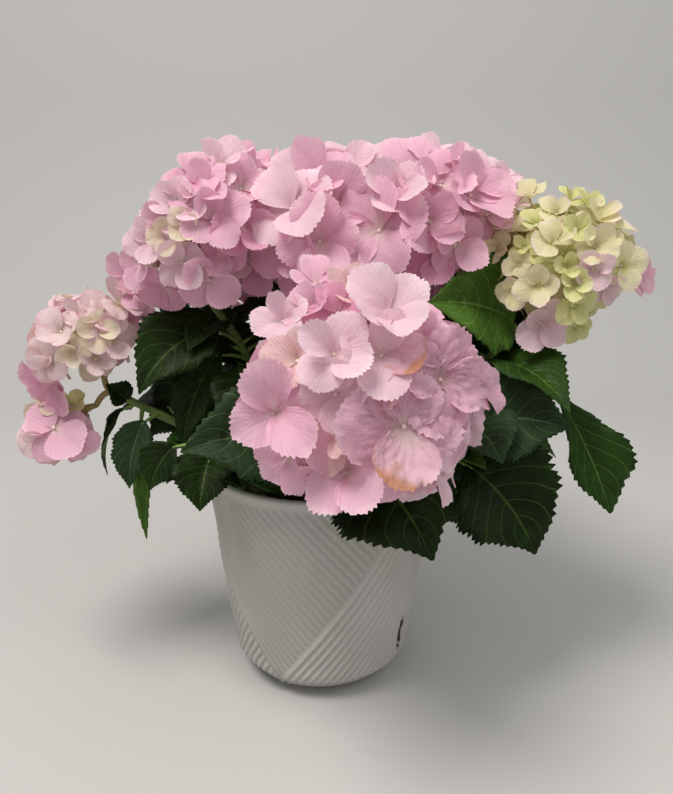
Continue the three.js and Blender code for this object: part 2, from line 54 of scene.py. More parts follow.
# The way from the plant to the viewer
VIEWER = np.array((0.0, -0.96, 0.29))
ROOT_BODY = "root"
# Corners nearer one another than this are one corner
WELD = 0.02 * MM
# The canes start a hair above the mix, at this height in millimetres
CANE_FOOT = 136.3
# A leaf's side veins run along lines of equal along - 0.33 |across| ^ 1.15, so they bow towards the tip
VEINS_A_SIDE = 6.5
VEIN_SLANT = 0.33
VEIN_BOW = 1.15

# The radius of a rod in metres, from its corners' shares along it and turns round it
Girth = Callable[[np.ndarray, np.ndarray], np.ndarray]


# Numbers and colours


def chance(seed: float | np.ndarray) -> float | np.ndarray:
    """A fixed pseudo-random share from 0 to 1 for a seed.

    Args:
        seed: A number, or an array of them.

    Returns:
        The share or shares.
    """
    # Two uneven numbers stir the seed
    stirred = np.sin(np.asarray(seed, float) * 12.9898) * 43758.5453
    return stirred - np.floor(stirred)


def linear(code: str) -> tuple[float, float, float, float]:
    """An sRGB hex colour as linear red, green, blue and alpha.

    Args:
        code: Six hex digits.

    Returns:
        The linear colour with alpha 1.
    """
    parts = [int(code[at:at + 2], 16) / 255 for at in (0, 2, 4)]
    straight = [p / 12.92 if p <= 0.04045 else ((p + 0.055) / 1.055) ** 2.4 for p in parts]
    return (*straight, 1.0)


def unit(vector: np.ndarray) -> np.ndarray:
    """A vector, or rows of vectors, at length 1.

    Args:
        vector: The vector or rows.

    Returns:
        The same directions at length 1.
    """
    return vector / np.maximum(np.linalg.norm(vector, axis=-1, keepdims=True), 1e-12)


def direction(azimuth: float, elevation: float) -> np.ndarray:
    """A unit direction from its azimuth and elevation.

    Args:
        azimuth: Degrees round from +X to +Y.
        elevation: Degrees up from the level.

    Returns:
        The direction.
    """
    turn, rise = math.radians(azimuth), math.radians(elevation)
    return np.array((math.cos(turn) * math.cos(rise), math.sin(turn) * math.cos(rise), math.sin(rise)))


def across(middle: np.ndarray) -> tuple[np.ndarray, np.ndarray]:
    """Two unit directions square to one another and to a direction.

    Args:
        middle: The unit direction.

    Returns:
        The first and the last direction.
    """
    helper = np.array((1.0, 0, 0)) if abs(middle[2]) > 0.9 else np.array((0, 0, 1.0))
    first = unit(np.cross(helper, middle))
    return first, np.cross(middle, first)


# Node materials


def add(tree: bpy.types.NodeTree, kind: str, settings: dict | None = None,
        inputs: dict | None = None) -> bpy.types.Node:
    """Adds a shader node with its settings and what its sockets take.

    Args:
        tree: The material's node tree.
        kind: The node's type name after "ShaderNode".
        settings: Property values by name.
        inputs: Socket values by name or number. An output socket, or a node's first one, is linked.

    Returns:
        The node.
    """
    node = tree.nodes.new("ShaderNode" + kind)
    for name, value in (settings or {}).items():
        setattr(node, name, value)
    for name, value in (inputs or {}).items():
        if isinstance(value, bpy.types.Node):
            value = value.outputs[0]
        if isinstance(value, bpy.types.NodeSocket):
            tree.links.new(value, node.inputs[name])
        else:
            node.inputs[name].default_value = value
    return node


def blank(name: str) -> tuple[bpy.types.Material, bpy.types.NodeTree, bpy.types.NodeSocket]:
    """A new material with no shader.

    Args:
        name: The material's name.

    Returns:
        The material, its tree and the socket of the object's own coordinates.
    """
    material = bpy.data.materials.new(name)
    material.use_nodes = True
    tree = material.node_tree
    tree.nodes.clear()
    return material, tree, add(tree, "TexCoord").outputs["Object"]


def ramp(tree: bpy.types.NodeTree, factor: bpy.types.Node,
         stops: tuple[tuple[float, str], ...]) -> bpy.types.Node:
    """A colour ramp with stops of sRGB hex colours.

    Args:
        tree: The material's node tree.
        factor: The node that picks the place on the ramp.
        stops: Places from 0 to 1 with their colours.

    Returns:
        The ramp.
    """
    node = add(tree, "ValToRGB", inputs={"Fac": factor})
    elements = node.color_ramp.elements
    while len(elements) < len(stops):
        elements.new(0.5)
    for element, (place, code) in zip(elements, stops):
        element.position = place
        element.color = linear(code)
    return node


@dataclass(frozen=True)
class MattCeramic:
    """Slip-cast stoneware with a matt white glaze, painted a light grey as shade from the plant over it: soft
    broad light, no sharp gloss, faint grey clouding, and painted shade in its grooves.
    """

    # The white glaze is painted down to this light grey as painted shade
    body: str = "C5C2BD"
    cloud: str = "B8B4AE"
    # Painted shade for the grooves between the ribs
    groove_shade: str = "928E88"
    name: str = "matt_glazed_stoneware"
    roughness: float = 0.52
    refraction: float = 1.5
    cloud_size: float = 45 * MM
    grain_size: float = 0.9 * MM
    grain_depth: float = 0.1 * MM

    def make(self) -> bpy.types.Material:
        """Makes the glaze's material, which reads the wall's relief to paint shade into its grooves.

        Returns:
            The material.
        """
        material, tree, place = blank(self.name)
        clouds = add(tree, "TexNoise", inputs={"Vector": place, "Scale": 1 / self.cloud_size, "Detail": 4.0})
        colour = ramp(tree, clouds, ((0.35, self.body), (0.72, self.cloud)))
        # Painted shade: between the ribs the glaze is greyer than on their crests
        relief = add(tree, "Attribute", {"attribute_name": "relief"}).outputs["Fac"]
        depth = add(tree, "MapRange", inputs={
            "Value": relief, "From Min": 0.1, "From Max": 0.9, "To Min": 0.55, "To Max": 0.0})
        glazed = add(tree, "MixRGB", inputs={
            "Fac": depth, "Color1": colour, "Color2": linear(self.groove_shade)})
        # The glaze's grain is about 0.3 mm and is drawn at 0.9 mm so that it shows
        grain = add(tree, "TexNoise", inputs={"Vector": place, "Scale": 1 / self.grain_size, "Detail": 2.0})
        bump = add(tree, "Bump", inputs={
            "Strength": 0.12, "Distance": self.grain_depth, "Height": grain})
        shader = add(tree, "BsdfPrincipled", inputs={
            "Base Color": glazed, "Roughness": self.roughness, "IOR": self.refraction,
            "Normal": bump})
        add(tree, "OutputMaterial", inputs={"Surface": shader})
        return material


@dataclass(frozen=True)
class PeatMix:
    """Damp peat potting mix: dark brown crumbs with paler fibres, no gloss."""

    dark: str = "2A1D14"
    pale: str = "5A432E"
    roughness: float = 0.95
    crumb_size: float = 3 * MM
    crumb_depth: float = 1 * MM

    def make(self) -> bpy.types.Material:
        """Makes the mix's material.

        Returns:
            The material.
        """
        material, tree, place = blank("peat_potting_mix")
        crumbs = add(tree, "TexNoise", inputs={"Vector": place, "Scale": 1 / self.crumb_size, "Detail": 6.0})
        colour = ramp(tree, crumbs, ((0.4, self.dark), (0.68, self.pale)))
        bump = add(tree, "Bump", inputs={
            "Strength": 0.8, "Distance": self.crumb_depth, "Height": crumbs})
        shader = add(tree, "BsdfPrincipled", inputs={
            "Base Color": colour, "Roughness": self.roughness, "Normal": bump})
        add(tree, "OutputMaterial", inputs={"Surface": shader})
        return material


@dataclass(frozen=True)
class GreenRind:
    """The rind of a soft cane or ray: fine lengthwise streaks and small corky specks, with a low sheen."""

    name: str
    body: str
    streak: str
    speck: str
    roughness: float = 0.62
    streak_size: float = 1.2 * MM
    streak_depth: float = 0.2 * MM
    speck_size: float = 2.5 * MM

    def make(self) -> bpy.types.Material:
        """Makes the rind's material.

        Returns:
            The material.
        """
        material, tree, place = blank(self.name)
        # Streaks run up the cane, so the pattern is squeezed to a sixth of its pace along Z
        lengthwise = add(tree, "Mapping", inputs={"Vector": place, "Scale": (1.0, 1.0, 0.16)})
        streaks = add(tree, "TexNoise", inputs={
            "Vector": lengthwise, "Scale": 1 / self.streak_size, "Detail": 3.0})
        specks = add(tree, "TexVoronoi", inputs={"Vector": place, "Scale": 1 / self.speck_size})
        colour = ramp(tree, streaks, ((0.35, self.body), (0.65, self.streak)))
        spotted = add(tree, "MapRange", inputs={
            "Value": specks, "From Min": 0.1, "From Max": 0.22,
            "To Min": 0.7, "To Max": 0.0})
        mixed = add(tree, "MixRGB", inputs={
            "Fac": spotted, "Color1": colour, "Color2": linear(self.speck)})
        bump = add(tree, "Bump", inputs={
            "Strength": 0.4, "Distance": self.streak_depth, "Height": streaks})
        shader = add(tree, "BsdfPrincipled", inputs={
            "Base Color": mixed, "Roughness": self.roughness,
            "Normal": bump})
        add(tree, "OutputMaterial", inputs={"Surface": shader})
        return material


@dataclass(frozen=True)
class LeafSkin:
    """The skin of a living leaf: waxy green between paler veins, with a broad dull sheen."""

    name: str
    blade: str
    shade: str
    vein: str
    roughness: float
    vein_share: float
    refraction: float = 1.45
    mottle_size: float = 14 * MM
    net_size: float = 2.4 * MM
    net_depth: float = 0.3 * MM

    def make(self) -> bpy.types.Material:
        """Makes the skin's material, whose veins follow the leaf's own measure along and across it.

        Returns:
            The material.
        """
        material, tree, place = blank(self.name)
        along = add(tree, "Attribute", {"attribute_name": "along"}).outputs["Fac"]
        side = add(tree, "Attribute", {"attribute_name": "across"}).outputs["Fac"]
        mottle = add(tree, "TexNoise", inputs={"Vector": place, "Scale": 1 / self.mottle_size, "Detail": 3.0})
        colour = ramp(tree, mottle, ((0.35, self.blade), (0.66, self.shade)))
        away = add(tree, "Math", {"operation": "ABSOLUTE"}, {0: side})
        bowed = add(tree, "Math", {"operation": "POWER"}, {0: away, 1: VEIN_BOW})
        back = add(tree, "Math", {"operation": "MULTIPLY_ADD"}, {
            0: bowed, 1: -VEIN_SLANT, 2: along})
        steps = add(tree, "Math", {"operation": "MULTIPLY"}, {0: back, 1: VEINS_A_SIDE})
        between = add(tree, "Math", {"operation": "PINGPONG"}, {0: steps, 1: 0.5})
        side_vein = add(tree, "MapRange", {"interpolation_type": "SMOOTHSTEP"}, {
            "Value": between, "From Min": 0.01, "From Max": 0.04, "To Min": 0.8, "To Max": 0.0})
        midrib = add(tree, "MapRange", {"interpolation_type": "SMOOTHSTEP"}, {
            "Value": away, "From Min": 0.01, "From Max": 0.04, "To Min": 1.0, "To Max": 0.0})
        either = add(tree, "Math", {"operation": "MAXIMUM"}, {
            0: side_vein, 1: midrib})
        amount = add(tree, "Math", {"operation": "MULTIPLY"}, {0: either, 1: self.vein_share})
        veined = add(tree, "MixRGB", inputs={
            "Fac": amount, "Color1": colour, "Color2": linear(self.vein)})
        # The net of small veins is about 1 mm across and is drawn at 2.4 mm so that it shows
        net = add(tree, "TexVoronoi", {"feature": "DISTANCE_TO_EDGE"}, {
            "Vector": place, "Scale": 1 / self.net_size})
        quilt = add(tree, "MapRange", inputs={
            "Value": net, "From Min": 0.0, "From Max": 0.35})
        bump = add(tree, "Bump", inputs={
            "Strength": 0.45, "Distance": self.net_depth, "Height": quilt})
        shader = add(tree, "BsdfPrincipled", inputs={
            "Base Color": veined, "Roughness": self.roughness, "IOR": self.refraction,
            "Specular IOR Level": 0.12, "Normal": bump})
        add(tree, "OutputMaterial", inputs={"Surface": shader})
        return material


@dataclass(frozen=True)
class SepalSkin:
    """A soft sepal: a paler throat, a body tint, a margin tint that on pink sepals is painted rim highlight,
    fine veins, and light through it.

    Attributes:
        glow: The share of the light that comes through it.
        edge: Where the margin's tint starts, from 0 at the eye to about 1.
        wedge: How narrowly the margin's tint runs in along the middle of the sepal, or 0 where it doesn't.
        half_width: Half the width of its margin.
        crease_width: From crease to crease at the margin.
    """

    name: str
    throat: str
    body: str
    margin: str
    veined: str
    glow: float = 0.36
    edge: float = 0.84
    wedge: float = 0.0
    cloud_size: float = 16 * MM
    length: float = 32 * MM
    half_width: float = 16 * MM
    crease_length: float = 12.5 * MM
    crease_width: float = 1.25 * MM
    pucker_size: float = 1.6 * MM
    pucker_depth: float = 0.45 * MM
    roughness: float = 0.58
    refraction: float = 1.4

    def make(self) -> bpy.types.Material:
        """Makes the sepal's material, whose tints follow its own measure from the eye to the margin.

        Returns:
            The material.
        """
        material, tree, place = blank(self.name)
        along = add(tree, "Attribute", {"attribute_name": "along"}).outputs["Fac"]
        side = add(tree, "Attribute", {"attribute_name": "across"}).outputs["Fac"]
        clouds = add(tree, "TexNoise", inputs={"Vector": place, "Scale": 1 / self.cloud_size, "Detail": 3.0})
        reach = add(tree, "Math", {"operation": "MULTIPLY"}, {0: along, 1: 0.7})
        shifted = add(tree, "Math", {"operation": "MULTIPLY_ADD"}, {
            0: clouds, 1: 0.45, 2: reach})
        if self.wedge:
            # The margin's tint runs in along a wedge near the middle of the sepal
            off = add(tree, "Math", {"operation": "ADD"}, {0: side, 1: 0.2})
            off = add(tree, "Math", {"operation": "ABSOLUTE"}, {0: off})
            off = add(tree, "Math", {"operation": "MULTIPLY"}, {0: off, 1: along})
            shifted = add(tree, "Math", {"operation": "MULTIPLY_ADD"}, {
                0: off, 1: -self.wedge, 2: shifted})
        # On the blush, rose, deep rose and peach sepals the paler margin tint is painted rim highlight; on
        # the cream, lemon, cream pink and scorched sepals it is their own edge colour
        colour = ramp(tree, shifted, (
            (0.2, self.throat), (0.44, self.body), (self.edge, self.body), (self.edge + 0.14, self.margin)))
        # Creases and veins fan out from the eye: a noise measured along and across the sepal
        measure = add(tree, "CombineXYZ", inputs={"X": along, "Y": side, "Z": 0.0})
        fan = add(tree, "Mapping", inputs={"Vector": measure, "Scale": (
            self.length / self.crease_length, self.half_width / self.crease_width, 1.0)})
        creases = add(tree, "TexNoise", inputs={"Vector": fan, "Scale": 1.0, "Detail": 3.0})
        line = add(tree, "MapRange", {"interpolation_type": "SMOOTHSTEP"}, {
            "Value": creases, "From Min": 0.52, "From Max": 0.76,
            "To Min": 0.0, "To Max": 0.3})
        lined = add(tree, "MixRGB", inputs={
            "Fac": line, "Color1": colour, "Color2": linear(self.veined)})
        pucker = add(tree, "TexNoise", inputs={"Vector": place, "Scale": 1 / self.pucker_size, "Detail": 2.0})
        height = add(tree, "Math", {"operation": "MULTIPLY_ADD"}, {
            0: creases, 1: 2.2, 2: pucker})
        bump = add(tree, "Bump", inputs={
            "Strength": 0.6, "Distance": self.pucker_depth, "Height": height})
        front = add(tree, "BsdfPrincipled", inputs={
            "Base Color": lined, "Roughness": self.roughness, "IOR": self.refraction,
            "Specular IOR Level": 0.25, "Normal": bump})
        through = add(tree, "BsdfTranslucent", inputs={
            "Color": lined, "Normal": bump})
        both = add(tree, "MixShader", inputs={
            0: self.glow, 1: front, 2: through})
        add(tree, "OutputMaterial", inputs={"Surface": both})
        return material


@dataclass(frozen=True)
class Backdrop:
    """Painted paper: an even pale grey with no gloss."""

    name: str = "pale_paper"
    colour: str = "C6C5C2"
    roughness: float = 0.9
    patch_size: float = 25 * MM
    patch_depth: float = 1 * MM

    def make(self) -> bpy.types.Material:
        """Makes the paper's material.

        Returns:
            The material.
        """
        material, tree, place = blank(self.name)
        patches = add(tree, "TexNoise", inputs={"Vector": place, "Scale": 1 / self.patch_size, "Detail": 2.0})
        bump = add(tree, "Bump", inputs={
            "Strength": 0.02, "Distance": self.patch_depth, "Height": patches})
        shader = add(tree, "BsdfPrincipled", inputs={
            "Base Color": linear(self.colour), "Roughness": self.roughness, "Specular IOR Level": 0.2,
            "Normal": bump})
        add(tree, "OutputMaterial", inputs={"Surface": shader})
        return material


# Shapes repeated in a joined mesh


@dataclass
class Form:
    """A small shape that is repeated: its corners, and its faces as one list of corner numbers."""

    corners: np.ndarray
    loops: np.ndarray
    sizes: np.ndarray

    @classmethod
    def read(cls, shape: bmesh.types.BMesh) -> "Form":
        """Reads a shape and frees it.

        Args:
            shape: The bmesh, which is freed.

        Returns:
            The form.
        """
        shape.verts.index_update()
        corners = np.array([tuple(vert.co) for vert in shape.verts])
        loops = np.array([vert.index for face in shape.faces for vert in face.verts])
        sizes = np.array([len(face.verts) for face in shape.faces])
        shape.free()
        return cls(corners, loops, sizes)

    @classmethod
    def sheet(cls, along: int, wide: int, is_closed: bool = False) -> "Form":
        """A unit sheet from 0 to 1 along X and from -1 to 1 across Y.

        Args:
            along: Faces along it.
            wide: Faces across it.
            is_closed: Whether it has a rim, and an underside at -1.

        Returns:
            The form.
        """
        shape = bmesh.new()
        bmesh.ops.create_grid(shape, x_segments=along, y_segments=wide, size=0.5)
        bmesh.ops.translate(shape, verts=shape.verts, vec=(0.5, 0, 0))
        bmesh.ops.scale(shape, verts=shape.verts, vec=(1, 2, 1))
        if is_closed:
            bmesh.ops.solidify(shape, geom=shape.faces[:], thickness=1.0)
            bmesh.ops.recalc_face_normals(shape, faces=shape.faces)
        return cls.read(shape)

    @classmethod
    def rod(cls, sides: int, cuts: int) -> "Form":
        """A closed unit rod of radius 1 from 0 to 1 up Z.

        Args:
            sides: Faces round it.
            cuts: Rings between its two ends.

        Returns:
            The form.
        """
        shape = bmesh.new()
        bmesh.ops.create_cone(
            shape, cap_ends=True, segments=sides, radius1=1, radius2=1, depth=1)
        upright = [e for e in shape.edges if abs(e.verts[0].co.z - e.verts[1].co.z) > 0.5]
        bmesh.ops.subdivide_edges(shape, edges=upright, cuts=cuts, use_grid_fill=True)
        bmesh.ops.translate(shape, verts=shape.verts, vec=(0, 0, 0.5))
        return cls.read(shape)

    @classmethod
    def bead(cls, round_about: int, rings: int) -> "Form":
        """A closed unit ball.

        Args:
            round_about: Faces round it.
            rings: Rings from pole to pole.

        Returns:
            The form.
        """
        shape = bmesh.new()
        bmesh.ops.create_uvsphere(shape, u_segments=round_about, v_segments=rings, radius=1)
        return cls.read(shape)


@dataclass
class Joined:
    """One piece joined from many copies of forms."""

    name: str
    materials: list[bpy.types.Material]
    corners: list[np.ndarray] = field(default_factory=list)
    loops: list[np.ndarray] = field(default_factory=list)
    sizes: list[np.ndarray] = field(default_factory=list)
    slots: list[np.ndarray] = field(default_factory=list)
    along: list[np.ndarray] = field(default_factory=list)
    sideways: list[np.ndarray] = field(default_factory=list)
    count: int = 0

    def put(self, form: Form, corners: np.ndarray, slot: int | np.ndarray = 0,
            along: np.ndarray | None = None, sideways: np.ndarray | None = None) -> None:
        """Adds a copy of a form with its corners moved.

        Args:
            form: The form.
            corners: Where its corners go, in metres.
            slot: The material's number, for all its faces or for each.
            along: Each corner's measure along the copy.
            sideways: Each corner's measure across the copy.
        """
        self.corners.append(corners)
        self.loops.append(form.loops + self.count)
        self.sizes.append(form.sizes)
        self.slots.append(np.broadcast_to(slot, form.sizes.shape))
        unmeasured = np.zeros(len(corners))
        self.along.append(unmeasured if along is None else along)
        self.sideways.append(unmeasured if sideways is None else sideways)
        self.count += len(corners)

    def finish(self, slot: str, nodes: list[str]) -> None:
        """Makes the piece's mesh and object.

        Args:
            slot: The record's material slot. It is not used.
            nodes: The CAD nodes that it stands for.
        """
        corners = np.concatenate(self.corners)
        loops = np.concatenate(self.loops)
        sizes = np.concatenate(self.sizes)
        mesh = bpy.data.meshes.new(self.name)
        mesh.vertices.add(len(corners))
        mesh.vertices.foreach_set("co", corners.astype(np.float32).ravel())
        mesh.loops.add(len(loops))
        mesh.loops.foreach_set("vertex_index", loops.astype(np.int32))
        mesh.polygons.add(len(sizes))
        starts = np.concatenate(((0,), np.cumsum(sizes)[:-1]))
        mesh.polygons.foreach_set("loop_start", starts.astype(np.int32))
        mesh.polygons.foreach_set("material_index", np.concatenate(self.slots).astype(np.int32))
        mesh.polygons.foreach_set("use_smooth", np.ones(len(sizes), bool))
        for name, values in (("along", self.along), ("across", self.sideways)):
            measure = mesh.attributes.new(name, "FLOAT", "POINT")
            measure.data.foreach_set("value", np.concatenate(values).astype(np.float32))
        mesh.update(calc_edges=True)
        mesh.validate()
        settle(mesh, self.materials, nodes)


def spun(outline: list[tuple[float, float]], steps: int) -> bmesh.types.BMesh:
    """Spins an outline once round Z.

    Args:
        outline: Radii and heights, in metres.
        steps: Faces round it.

    Returns:
        The bmesh, merged at its seam and poles, with its faces outwards.
    """
    shape = bmesh.new()
    verts = [shape.verts.new((radius, 0, height)) for radius, height in outline]
    edges = [shape.edges.new(pair) for pair in zip(verts, verts[1:])]
    bmesh.ops.spin(shape, geom=verts + edges, cent=(0, 0, 0), axis=(0, 0, 1), dvec=(0, 0, 0),
                   angle=math.tau, steps=steps, use_merge=True)
    bmesh.ops.remove_doubles(shape, verts=shape.verts, dist=WELD)
    bmesh.ops.recalc_face_normals(shape, faces=shape.faces)
    return shape


def smooth_mesh(shape: bmesh.types.BMesh, name: str) -> bpy.types.Mesh:
    """Turns a bmesh into a mesh that is shaded smooth, and frees it.

    Args:
        shape: The bmesh, which is freed.
        name: The mesh's name.

    Returns:
        The mesh.
    """
    mesh = bpy.data.meshes.new(name)
    shape.to_mesh(mesh)
    shape.free()
    mesh.shade_smooth()
    return mesh


def settle(mesh: bpy.types.Mesh, materials: list[bpy.types.Material], nodes: list[str]) -> None:
    """Makes a mesh a piece of the plant that rides on its body, and reports it.

    Args:
        mesh: The mesh, named and placed as the piece.
        materials: Its materials, in slot order.
        nodes: The CAD nodes that it stands for.
    """
    for material in materials:
        mesh.materials.append(material)
    piece = bpy.data.objects.new(mesh.name, mesh)
    bpy.context.scene.collection.objects.link(piece)
    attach(piece, ROOT_BODY)
    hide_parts(*nodes)
    triangles = sum(len(face.vertices) - 2 for face in mesh.polygons)
    LOG.info("%s: %d triangles", piece.name, triangles)


# Curves


def tapering(radius: float, taper: float) -> Girth:
    """The girth of a rod that tapers evenly.

    Args:
        radius: Its radius at the start, in metres.
        taper: The share of the radius that is gone at the end.

    Returns:
        The girth.
    """
    return lambda share, turn: radius * (1 - taper * share)


@dataclass(frozen=True)
class Bow:
    """A line from a foot to a neck that bows towards a knee."""

    foot: np.ndarray
    knee: np.ndarray
    neck: np.ndarray

    def at(self, share: float | np.ndarray) -> np.ndarray:
        """The place or places at a share or shares of the way."""
        t = np.asarray(share, float)[..., None]
        return (1 - t) ** 2 * self.foot + 2 * t * (1 - t) * self.knee + t * t * self.neck

    def way(self, share: float | np.ndarray) -> np.ndarray:
        """The unit direction or directions at a share or shares of the way."""
        t = np.asarray(share, float)[..., None]
        return unit(2 * (1 - t) * (self.knee - self.foot) + 2 * t * (self.neck - self.knee))

    def part(self, first: float, last: float) -> "Bow":
        """The stretch between two shares.

        Args:
            first: The share it starts at.
            last: The share it ends at.

        Returns:
            The stretch.
        """
        start, end = self.at(first), self.at(last)
        middle = first * (1 - last) + last * (1 - first)
        knee = (1 - first) * (1 - last) * self.foot + middle * self.knee + first * last * self.neck
        return Bow(start, knee, end)

    def wrap(self, form: Form, girth: Girth) -> np.ndarray:
        """Bends a rod round this line.

        Args:
            form: The rod.
            girth: Its radius at each corner.

        Returns:
            The rod's corners.
        """
        share = form.corners[:, 2]
        turn = np.arctan2(form.corners[:, 1], form.corners[:, 0])
        ring = np.hypot(form.corners[:, 0], form.corners[:, 1]) * girth(share, turn)
        plane = np.cross(self.knee - self.foot, self.neck - self.knee)
        # A straight line has no plane of its own, so any will do
        if np.linalg.norm(plane) < 1e-12:
            plane = across(unit(self.neck - self.foot))[0]
        side = unit(plane)
        other = np.cross(side, self.way(share))
        return self.at(share) + (ring * np.cos(turn))[:, None] * side + (ring * np.sin(turn))[:, None] * other


# The plant's plan, in millimetres


class LeafTint(Enum):
    """The green of a leaf. The greyed green stands for sheen: painted reflection in the leaf's colour."""

    DEEP = 0
    MIDDLE = 1
    BRIGHT = 2
    # A greyer green as painted sheen
    GREY_SHEEN = 3


# The underside's material comes after those of the tints
UNDERSIDE = len(LeafTint)


@dataclass(frozen=True)
class LeafPlan:
    """A leaf.

    Attributes:
        at: The share of its shoot's line where its petiole starts.
        tip: Where its tip is.
        petiole: The petiole's length.
        rise: Degrees that the petiole rises.
        width: The blade's width.
        arch: Degrees that the blade bends down in all.
        turn: The share by which its upper side turns to the viewer.
        tint: Its green.
        lean: How much nearer the tip the blade is broadest, and how much narrower its left half is.
    """

    at: float
    tip: tuple[float, float, float]
    petiole: float
    rise: float
    width: float
    arch: float
    turn: float
    tint: LeafTint = LeafTint.DEEP
    lean: float = 0.0


@dataclass(frozen=True)
class PairsPlan:
    """The crosswise leaf pairs of a shoot.

    Attributes:
        first: The share of the shoot's line where the lowest pair stands.
        last: The share where the highest pair stands.
        spin: Degrees round from +X of the first leaf.
        petiole: The petioles' length.
        length: The blades' usual length.
        droop: Degrees that the blades usually fall.
        tries: For each leaf the try in which it found room, or None where it is left out.
    """

    count: int
    first: float
    last: float
    spin: float
    petiole: float
    length: float
    droop: float
    tries: tuple[int | None, ...]


@dataclass(frozen=True)
class ShootPlan:
    """A cane with the leafy shoot above it.

    Attributes:
        foot: Where the cane leaves the mix.
        knee: The place that its line bows towards.
        neck: Where the shoot ends, under its flower head.
        cane: The share of the line that is cane.
        pairs: Its crosswise leaf pairs.
        leaves: The leaves placed one by one.
        young: How many small leaves its side buds bear.
    """

    name: str
    foot: tuple[float, float]
    knee: tuple[float, float, float]
    neck: tuple[float, float, float]
    cane: float
    pairs: PairsPlan
    leaves: tuple[LeafPlan, ...] = ()
    young: int = 12

    def line(self) -> Bow:
        """The line of the cane and its shoot, in metres."""
        foot = np.array((*self.foot, CANE_FOOT))
        return Bow(foot * MM, np.array(self.knee) * MM, np.array(self.neck) * MM)


SHOOTS = (
    ShootPlan("front", (10, -30), (12, -36, 180), (20, -56, 196), 0.22,
              PairsPlan(2, 0.5, 0.85, 20, 20, 66, 12, (5, None, 1, None)), (
                  LeafPlan(0.62, (-77, -90, 192), 24, 5, 60, 45, 0.78, LeafTint.GREY_SHEEN),
                  LeafPlan(0.3, (66, -101, 130), 26, 20, 76, 45, 0.95))),
    ShootPlan("top", (4, 6), (10, 8, 200), (34, 12, 249), 0.24,
              PairsPlan(4, 0.4, 0.9, 65, 24, 82, 20, (1, 3, 0, 3, None, 1, 3, 0)), (
                  LeafPlan(0.78, (62, -32, 226), 18, 10, 48, 50, 0.5),
                  LeafPlan(0.66, (-34, -40, 214), 20, 20, 50, 50, 0.6),
                  LeafPlan(0.88, (-22, -36, 254), 16, 20, 46, 40, 0.6),
                  LeafPlan(0.7, (-66, 14, 226), 16, 20, 46, 40, 0.9))),
    ShootPlan("upper_left", (-20, 2), (-30, 2, 205), (-72, 4, 262), 0.24,
              PairsPlan(4, 0.36, 0.88, 130, 22, 76, 22, (0, 5, 5, 5, 4, 0, 5, None)), (
                  LeafPlan(0.74, (-110, -46, 213), 24, 40, 46, 62, 0.8),
                  LeafPlan(0.66, (-88, -36, 172), 26, 25, 28, 40, 0.8),
                  LeafPlan(0.55, (-50, -64, 188), 20, 30, 40, 50, 0.8),
                  LeafPlan(0.55, (-118, 4, 168), 24, 0, 54, 40, 0.8))),
    ShootPlan("left", (-32, -12), (-58, -12, 166), (-136, -10, 203), 0.22,
              PairsPlan(2, 0.45, 0.68, 40, 18, 58, 18, (1, 5, 0, None)), (
                  LeafPlan(0.8, (-124, -36, 146), 14, 0, 27, 40, 0.9, LeafTint.GREY_SHEEN),
                  LeafPlan(0.88, (-119, -24, 103), 14, -50, 13, 16, 1, LeafTint.BRIGHT),
                  LeafPlan(0.9, (-145, -14, 146), 10, -10, 14, 50, 0.2),
                  LeafPlan(0.92, (-137, -24, 213), 5, 20, 18, 20, 0.8)), young=3),
    ShootPlan("right", (30, 0), (60, -6, 180), (128, -12, 246), 0.22,
              PairsPlan(3, 0.42, 0.78, 85, 22, 78, 22, (0, 3, None, 0, 2, None)), (
                  LeafPlan(0.99, (64, -52, 270), 8, 72, 60, 30, 0.9, LeafTint.BRIGHT),
                  LeafPlan(0.8, (188, -44, 132), 50, -8, 50, 14, 0.9, LeafTint.MIDDLE, lean=0.35),
                  LeafPlan(0.7, (144, -44, 208), 16, 30, 32, 50, 0.5),
                  LeafPlan(0.95, (187, 22, 276), 22, 20, 34, 30, 0.6),
                  LeafPlan(0.82, (70, -6, 290), 12, 50, 40, 30, 0.7),
                  LeafPlan(0.8, (140, 22, 262), 14, 10, 42, 40, 0.8))),
    ShootPlan("back_left", (-14, 30), (-20, 45, 200), (-50, 78, 244), 0.24,
              PairsPlan(4, 0.36, 0.9, 20, 24, 86, 28, (2, None, 0, None, None, 4, None, None))),
    ShootPlan("back_right", (20, 30), (28, 50, 190), (64, 94, 222), 0.24,
              PairsPlan(4, 0.36, 0.9, 10, 24, 86, 28, (4, 4, None, 5, None, 0, 3, 1))),
    ShootPlan("right_low", (38, -22), (55, -32, 165), (92, -50, 194), 0.24,
              PairsPlan(2, 0.5, 0.82, 60, 16, 62, 12, (5, 3, None, 1)), (
                  LeafPlan(0.66, (133, -72, 118), 26, -12, 70, 40, 0.85),
                  LeafPlan(0.9, (150, -62, 196), 10, 40, 56, 40, 0.8, LeafTint.GREY_SHEEN),
                  LeafPlan(0.98, (104, -92, 186), 8, 30, 40, 40, 0.6, LeafTint.GREY_SHEEN),
                  LeafPlan(0.5, (98, -40, 116), 12, 10, 46, 40, 0.85))),
    ShootPlan("left_low", (-40, -34), (-55, -44, 160), (-80, -48, 185), 0.24,
              PairsPlan(2, 0.5, 0.86, 100, 14, 50, 8, (None, None, None, 0)), (
                  LeafPlan(0.9, (-106, -52, 152), 14, 5, 26, 40, 0.9),
                  LeafPlan(0.7, (-70, -80, 151), 12, 20, 36, 50, 0.8)), young=6),
    ShootPlan("back_low", (0, 46), (0, 66, 170), (-6, 108, 192), 0.24,
              PairsPlan(3, 0.4, 0.95, 60, 20, 78, 28, (2, None, 0, 5, None, None))),
)


